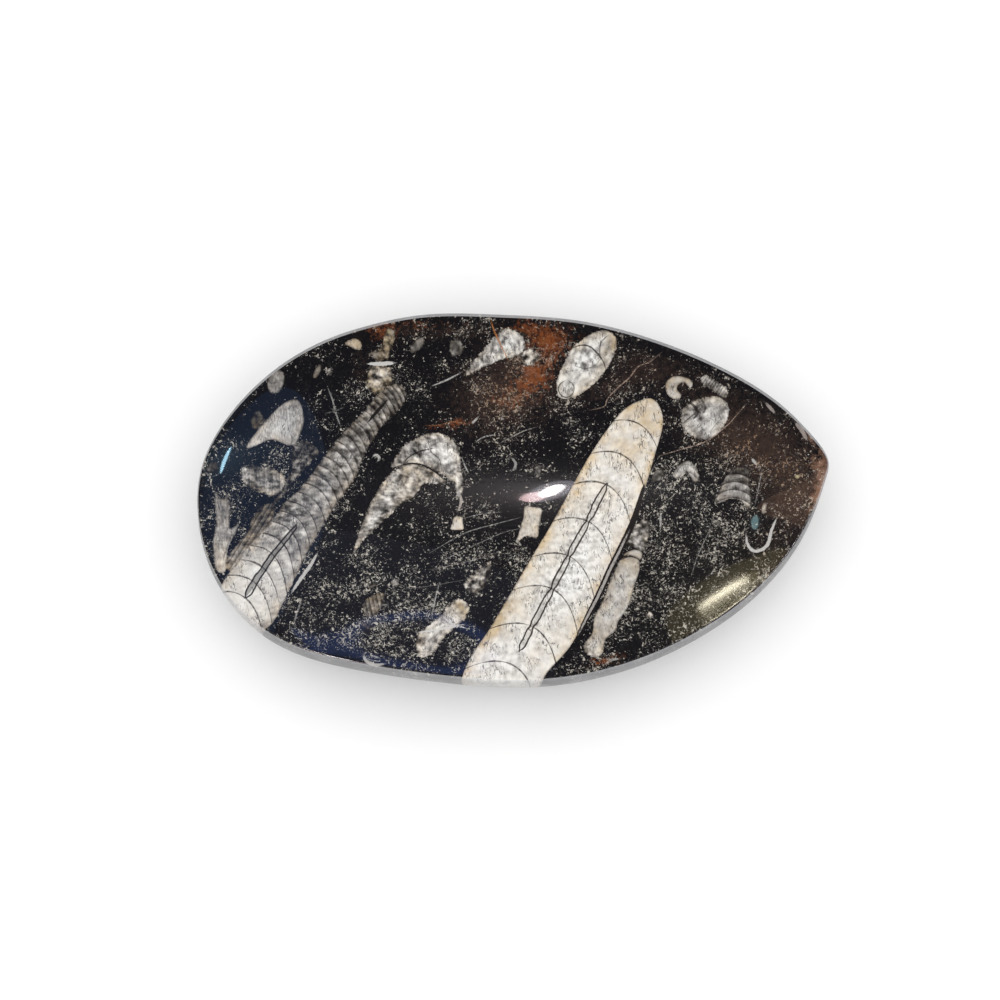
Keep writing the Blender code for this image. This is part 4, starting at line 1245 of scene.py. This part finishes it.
def stone_pattern(colours):
    """The pattern that both finishes share: black limestone with calcite fossils.

    Lengths inside it are millimetres, so a noise of scale 2 has grains of about
    half a millimetre.
    """
    tree = bpy.data.node_groups.new("fossil limestone", "ShaderNodeTree")
    for name, kind in (("Colour", "Color"), ("Calcite", "Float")):
        tree.interface.new_socket(name, in_out="OUTPUT", socket_type="NodeSocket" + kind)
    where = add(tree, "ShaderNodeTexCoord").outputs["Object"]
    place = add(tree, VECTOR, {0: where, "Scale": 1.0 / MM}, operation="SCALE")
    marks = read_marks(tree)
    rough, edge, calcite = fossil_edge(tree, place, marks)
    shell, fine = clouded_calcite(tree, place, marks, edge, colours)
    shell = hair_cracks(tree, place, shell, colours)
    # Septa and siphuncle sway a little from their true curves
    sway = add(tree, NOISE, {"Vector": place, "Scale": 0.25, "Detail": 2.0})
    sway = add(tree, CALC, {0: sway, 1: 0.5}, operation="SUBTRACT")
    shell = septa(tree, marks, rough, sway, shell, colours)
    shell = siphuncle(tree, marks, rough, sway, shell, colours)
    matrix = stained_matrix(tree, place, marks, colours)
    matrix, amount = dust_and_crumbs(tree, place, marks, matrix, colours)
    matrix = chips_and_curls(tree, place, fine, amount, matrix, colours)
    vein = add(tree, MIX, {"Factor": marks["vein tint"], "A": colours["pale"], "B": colours["orange"]},
               data_type="RGBA")
    stone = add(tree, MIX, {"Factor": calcite, "A": matrix, "B": shell}, data_type="RGBA")
    stone = veins_and_cracks(tree, marks, rough, vein, stone, colours)
    add(tree, "NodeGroupOutput", {"Colour": stone, "Calcite": calcite})
    return tree


# The colours that aren't offered in the sidebar
STONE_COLOURS = {
    # tan is partly painted light: the lit look of the point's lower wall
    "tan": "#8a6650", "speck": "#5f5b52", "crumb": "#b4aea2", "rust speck": "#84603f", "debris": "#d8d5d0",
    "mud": "#1a1614", "shadow": "#55524e", "grey": "#969390", "pale": "#cfccc7", "crack": "#4c4a4b",
    "septum": "#261e1b", "infill": "#96928c", "orange": "#b8743a",
}
CALCITE_IOR = 1.49
COAT_IOR = 1.45            # of the clear layer that carries the mirrored lamps


def new_material(name):
    """A material with its node tree and its shader."""
    material = bpy.data.materials.new(name)
    material.use_nodes = True
    return material, material.node_tree, material.node_tree.nodes["Principled BSDF"]


def set_inputs(shader, values):
    """Sets a shader's constant inputs by name."""
    for name, value in values.items():
        shader.inputs[name].default_value = value


def polished_limestone(pattern):
    """Polished black limestone: black and glassy, so it mirrors the lamps; the weak base
    lobe under the coat is broad, which puts a soft halo round each mirrored lamp."""
    material, tree, shader = new_material("polished black limestone")
    stone = add(tree, "ShaderNodeGroup", node_tree=pattern)
    tree.links.new(stone.outputs["Colour"], shader.inputs["Base Color"])
    set_inputs(shader, {"IOR": CALCITE_IOR, "Specular IOR Level": 0.25, "Coat Weight": 1.0,
                        "Coat Roughness": 0.03, "Coat IOR": COAT_IOR})
    gloss = add(tree, RAMP, {"Value": stone.outputs["Calcite"], "To Min": 0.24, "To Max": 0.32})
    tree.links.new(gloss.outputs[0], shader.inputs["Roughness"])
    # The last grit leaves fine lines along the dish, drawn coarse enough to show
    where = add(tree, "ShaderNodeTexCoord").outputs["Object"]
    lines = add(tree, "ShaderNodeMapping", {"Vector": where, "Rotation": (0.0, 0.0, 0.12),
                                            "Scale": (90.0, 1500.0, 400.0)})
    lines = add(tree, NOISE, {"Vector": lines, "Scale": 1.0, "Detail": 3.0, "Roughness": 0.6})
    bump = add(tree, "ShaderNodeBump", {"Height": lines, "Strength": 0.04, "Distance": 0.0003})
    tree.links.new(bump.outputs[0], shader.inputs["Normal"])
    return material


def honed_limestone(pattern):
    """Honed limestone: the same stone left matt, which looks grey because its fine
    scratches scatter the light."""
    material, tree, shader = new_material("honed limestone")
    stone = add(tree, "ShaderNodeGroup", node_tree=pattern)
    where = add(tree, "ShaderNodeTexCoord").outputs["Object"]
    level = add(tree, VECTOR, {0: where, 1: (160.0, 160.0, 260.0)}, operation="MULTIPLY")
    uneven = add(tree, NOISE, {"Vector": level, "Scale": 1.0, "Detail": 4.0, "Roughness": 0.65})
    uneven = add(tree, RAMP, {"Value": uneven, "From Min": 0.3, "From Max": 0.7,
                              "To Min": 0.42, "To Max": 0.60})
    worn = add(tree, MIX, {"Factor": uneven, "A": stone.outputs["Colour"], "B": linear("#c9c8c9")},
               data_type="RGBA")
    tree.links.new(worn.outputs["Result"], shader.inputs["Base Color"])
    set_inputs(shader, {"IOR": CALCITE_IOR})
    gloss = add(tree, RAMP, {"Value": stone.outputs["Calcite"], "To Min": 0.5, "To Max": 0.42})
    tree.links.new(gloss.outputs[0], shader.inputs["Roughness"])
    tooth = add(tree, NOISE, {"Vector": where, "Scale": 1400.0, "Detail": 4.0, "Roughness": 0.7})
    bump = add(tree, "ShaderNodeBump", {"Height": tooth, "Strength": 0.25, "Distance": 0.0002})
    tree.links.new(bump.outputs[0], shader.inputs["Normal"])
    return material


# ---------------------------------------------------------------- studio
SENSOR_WIDTH = 36.0
NEAR_CLIP = 0.01           # metres
FLOOR_CORNERS = 96
# Name, azimuth and elevation seen from the dish, angular width and height and turn, all in
# degrees; radiance, colour, whether it lights the matt surfaces, whether the polish mirrors it
LAMPS = [
    ("overhead_softbox", 0.0, 90.0, 100.0, 100.0, 0.0, 1.66, "#ffffff", True, False),
    ("ring_lamp", 100.9, 71.4, 4.6, 0.9, 66.0, 110.0, "#fff8f6", False, True),
    ("ring_lamp_glow", 100.9, 71.4, 8.0, 2.2, 66.0, 4.0, "#f4f0ff", False, True),
    ("ring_lamp_edge", 97.0, 69.4, 3.6, 1.3, 72.0, 18.0, "#ffdadb", False, True),
    ("warm_window", 110.6, 48.6, 5.0, 0.09, 5.0, 70.0, "#fff6dc", False, True),
    ("warm_window_edge", 111.4, 48.6, 6.6, 0.34, 5.0, 2.6, "#eadca8", False, True),
    ("olive_wall", 113.5, 48.8, 13.0, 1.7, 3.0, 1.5, "#c8b880", False, True),
    ("blue_window_low", -5.8, 53.4, 12.0, 1.0, 8.0, 24.0, "#b8e8ff", False, True),
    ("blue_wall", 14.0, 62.0, 74.0, 24.0, 0.0, 0.60, "#5f92d4", False, True),
    ("blue_window_far", 84.8, 48.2, 8.0, 0.42, -20.0, 2.4, "#4a72c8", False, True),
    ("grey_wall", 79.7, 53.7, 22.0, 9.0, -43.0, 0.26, "#a8b4d8", False, True),
    ("tip_window", 132.9, 51.4, 12.0, 6.0, -44.0, 0.9, "#ffc8a8", False, True),
    ("tip_glint", 140.4, 56.5, 3.0, 0.5, 63.0, 12.0, "#fff0c0", False, True),
    ("cool_glint", 121.9, 53.0, 2.4, 1.0, 53.0, 6.0, "#c0f0f6", False, True),
]


def hang_lamp(name, azimuth, elevation, width, height, turn, radiance, colour, lights, mirrored, studio):
    """A flat lamp at the studio's distance, turned to face the dish."""
    a, e = math.radians(azimuth), math.radians(elevation)
    direction = Vector((math.cos(a) * math.cos(e), math.sin(a) * math.cos(e), math.sin(e)))
    light = bpy.data.lights.new(name, "AREA")
    # A mirrored lamp is an ellipse, because its picture in the polish then has tapered ends
    light.shape = "RECTANGLE" if lights else "ELLIPSE"
    light.size = 2.0 * studio.lamp_distance * math.tan(math.radians(width) / 2.0)
    light.size_y = 2.0 * studio.lamp_distance * math.tan(math.radians(height) / 2.0)
    area = light.size * light.size_y * (1.0 if lights else math.pi / 4.0)
    light.energy = radiance * math.pi * area
    light.color = linear(colour)[:3]
    lamp = bpy.data.objects.new(name, light)
    lamp.location = direction * studio.lamp_distance + Vector((0.0, 0.0, studio.target_height))
    facing = direction.to_track_quat("Z", "Y") @ Quaternion((0.0, 0.0, 1.0), math.radians(turn))
    lamp.rotation_euler = facing.to_euler()
    lamp.visible_diffuse = lights
    lamp.visible_glossy = mirrored
    lamp.visible_camera = False
    bpy.context.scene.collection.objects.link(lamp)


def pale_floor(studio):
    """A round pale floor, part of the studio and not of the object."""
    points = [(studio.floor_radius * math.cos(a), studio.floor_radius * math.sin(a), 0.0)
              for a in np.linspace(0.0, 2.0 * math.pi, FLOOR_CORNERS, endpoint=False)]
    mesh = bpy.data.meshes.new("floor")
    mesh.from_pydata(points, [], [list(range(len(points)))])
    material, _, shader = new_material("matt white card")
    set_inputs(shader, {"Base Color": (*settings("dish_colours").floor, 1.0), "Roughness": 1.0,
                        "Specular IOR Level": 0.0})
    mesh.materials.append(material)
    floor = bpy.data.objects.new("floor", mesh)
    bpy.context.scene.collection.objects.link(floor)


def dim_room(studio):
    """A dim room for the polish to mirror, and a white one behind the floor's edge."""
    world = bpy.data.worlds.new("studio")
    world.use_nodes = True
    tree = world.node_tree
    tree.nodes.clear()
    seen = add(tree, "ShaderNodeLightPath").outputs["Is Camera Ray"]
    dim = add(tree, "ShaderNodeBackground", {"Color": linear("#f2f4ff"), "Strength": studio.room_light})
    white = add(tree, "ShaderNodeBackground", {"Color": linear("#ffffff"), "Strength": 1.0})
    both = add(tree, "ShaderNodeMixShader", {0: seen, 1: dim, 2: white})
    add(tree, "ShaderNodeOutputWorld", {"Surface": both})
    bpy.context.scene.world = world


def hang_camera(studio):
    """The camera, looking steeply down into the hollow from its near side."""
    elevation = studio.camera_elevation
    target = Vector((studio.target_x, studio.target_y, studio.target_height))
    back = Vector((0.0, -math.cos(elevation), math.sin(elevation)))
    data = bpy.data.cameras.new("camera")
    data.lens = studio.lens
    data.sensor_width = SENSOR_WIDTH
    data.clip_start = NEAR_CLIP
    camera = bpy.data.objects.new("camera", data)
    camera.location = target + back * studio.camera_distance
    camera.rotation_euler = (math.pi / 2.0 - elevation, 0.0, 0.0)
    bpy.context.scene.collection.objects.link(camera)
    bpy.context.scene.camera = camera


# ---------------------------------------------------------------- add-on
def length_property(name, description, default):
    """A length that a user can change."""
    return bpy.props.FloatProperty(name=name, description=description, default=default,
                                   subtype="DISTANCE", unit="LENGTH", precision=4)


class DishSizes(bpy.types.PropertyGroup):
    """Sizes of the carving."""
    rim_height: length_property("Rim height", "From the table to the top of the rim", CAD_SIZE[2] * MM)
    hollow_depth: length_property("Hollow depth", "From the rim down to the hollow's floor", 12.5 * MM)
    lip_drop: length_property("Lip drop", "Height of the rounded lip", 4.0 * MM)
    base_edge: length_property("Base edge", "Width of the worn edge round the base", 1.0 * MM)
    base_edge_height: length_property("Base edge height", "How high the worn edge starts", 0.2 * MM)
    hand_waviness: length_property("Hand waviness", "Unevenness left by hand carving", 0.5 * MM)
    seed: bpy.props.IntProperty(name="Seed", description="Changes the unevenness", default=4)


def colour_property(name, description, code):
    """A colour that a user can change."""
    return bpy.props.FloatVectorProperty(name=name, description=description, default=linear(code)[:3],
                                         subtype="COLOR", min=0.0, max=1.0)


class DishColours(bpy.types.PropertyGroup):
    """The stone's main colours and the floor's."""
    black: colour_property("Matrix", "The stone between the fossils", "#0a080b")
    brown: colour_property("Brown stain", "Where the matrix is stained brown", "#3a2c25")
    rust: colour_property("Rust stain", "Where the matrix is stained rusty", "#82441c")
    white: colour_property("Calcite", "The whitest parts of the fossils", "#f2f0eb")
    beige: colour_property("Beige calcite", "Tint of the warm parts of the fossils", "#e9d3b0")
    floor: colour_property("Floor", "The card under the dish", "#f7f7f6")


class StudioSizes(bpy.types.PropertyGroup):
    """Places and strengths of the camera, lamps and room."""
    lamp_distance: length_property("Lamp distance", "From the dish to each lamp", 1.6)
    floor_radius: length_property("Floor radius", "Radius of the pale floor", 1.0)
    camera_distance: length_property("Camera distance", "From the camera to its target", 0.463)
    target_x: length_property("Target X", "Where the camera looks, along the dish", -0.0032)
    target_y: length_property("Target Y", "Where the camera looks, across the dish", -0.0005)
    target_height: length_property("Target height", "Height of the camera's target", 0.018)
    camera_elevation: bpy.props.FloatProperty(
        name="Camera elevation", description="How far above the horizon the camera stands",
        default=math.radians(80.0), subtype="ANGLE", unit="ROTATION")
    lens: bpy.props.FloatProperty(name="Lens", description="Focal length", default=70.0, unit="CAMERA")
    room_light: bpy.props.FloatProperty(
        name="Room light", description="Brightness of the room that the polish mirrors", default=0.10)


def settings(name):
    """The property group of that name on the scene."""
    return getattr(bpy.context.scene, name)


class DISH_OT_carve(bpy.types.Operator):
    """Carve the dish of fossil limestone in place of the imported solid"""
    bl_idname = "dish.carve"
    bl_label = "Carve the dish"

    def execute(self, context):
        sizes = settings("dish_sizes")
        colours = {name: linear(code) for name, code in STONE_COLOURS.items()}
        for name in ("black", "brown", "rust", "white", "beige"):
            colours[name] = (*getattr(settings("dish_colours"), name), 1.0)
        pattern = stone_pattern(colours)
        finishes = polished_limestone(pattern), honed_limestone(pattern)
        dish = carved(flat_skin(sizes), sizes, finishes)
        if len(dish.data.polygons) < HOLLOW_RINGS:
            raise RuntimeError("the dish came out of the carving tree empty")
        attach(dish, "root")
        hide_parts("dish")
        return {"FINISHED"}


class DISH_OT_studio(bpy.types.Operator):
    """Set up the floor, lamps, room and camera"""
    bl_idname = "dish.studio"
    bl_label = "Set up the studio"

    def execute(self, context):
        studio = settings("dish_studio")
        pale_floor(studio)
        for lamp in LAMPS:
            hang_lamp(*lamp, studio)
        dim_room(studio)
        hang_camera(studio)
        context.scene.view_settings.view_transform = "Standard"
        return {"FINISHED"}


class DISH_PT_panel(bpy.types.Panel):
    """Lists the dish's operators and sizes in the sidebar"""
    bl_idname = "DISH_PT_panel"
    bl_label = "Orthoceras dish"
    bl_space_type = "VIEW_3D"
    bl_region_type = "UI"
    bl_category = "Dish"

    def draw(self, context):
        for group in ("dish_sizes", "dish_colours", "dish_studio"):
            values = settings(group)
            for name in values.bl_rna.properties.keys():
                if name not in ("rna_type", "name"):
                    self.layout.prop(values, name)
        self.layout.operator("dish.carve")
        self.layout.operator("dish.studio")


CLASSES = (DishSizes, DishColours, StudioSizes, DISH_OT_carve, DISH_OT_studio, DISH_PT_panel)


def register():
    """Registers the classes and hangs the settings on the scene."""
    for item in CLASSES:
        bpy.utils.register_class(item)
    bpy.types.Scene.dish_sizes = bpy.props.PointerProperty(type=DishSizes)
    bpy.types.Scene.dish_colours = bpy.props.PointerProperty(type=DishColours)
    bpy.types.Scene.dish_studio = bpy.props.PointerProperty(type=StudioSizes)


def unregister():
    """Takes the settings and classes away again."""
    del bpy.types.Scene.dish_studio
    del bpy.types.Scene.dish_colours
    del bpy.types.Scene.dish_sizes
    for item in reversed(CLASSES):
        bpy.utils.unregister_class(item)


def main():
    """Makes the dish and the studio."""
    register()
    bpy.ops.dish.carve()
    bpy.ops.dish.studio()


if __name__ == "__main__":
    main()
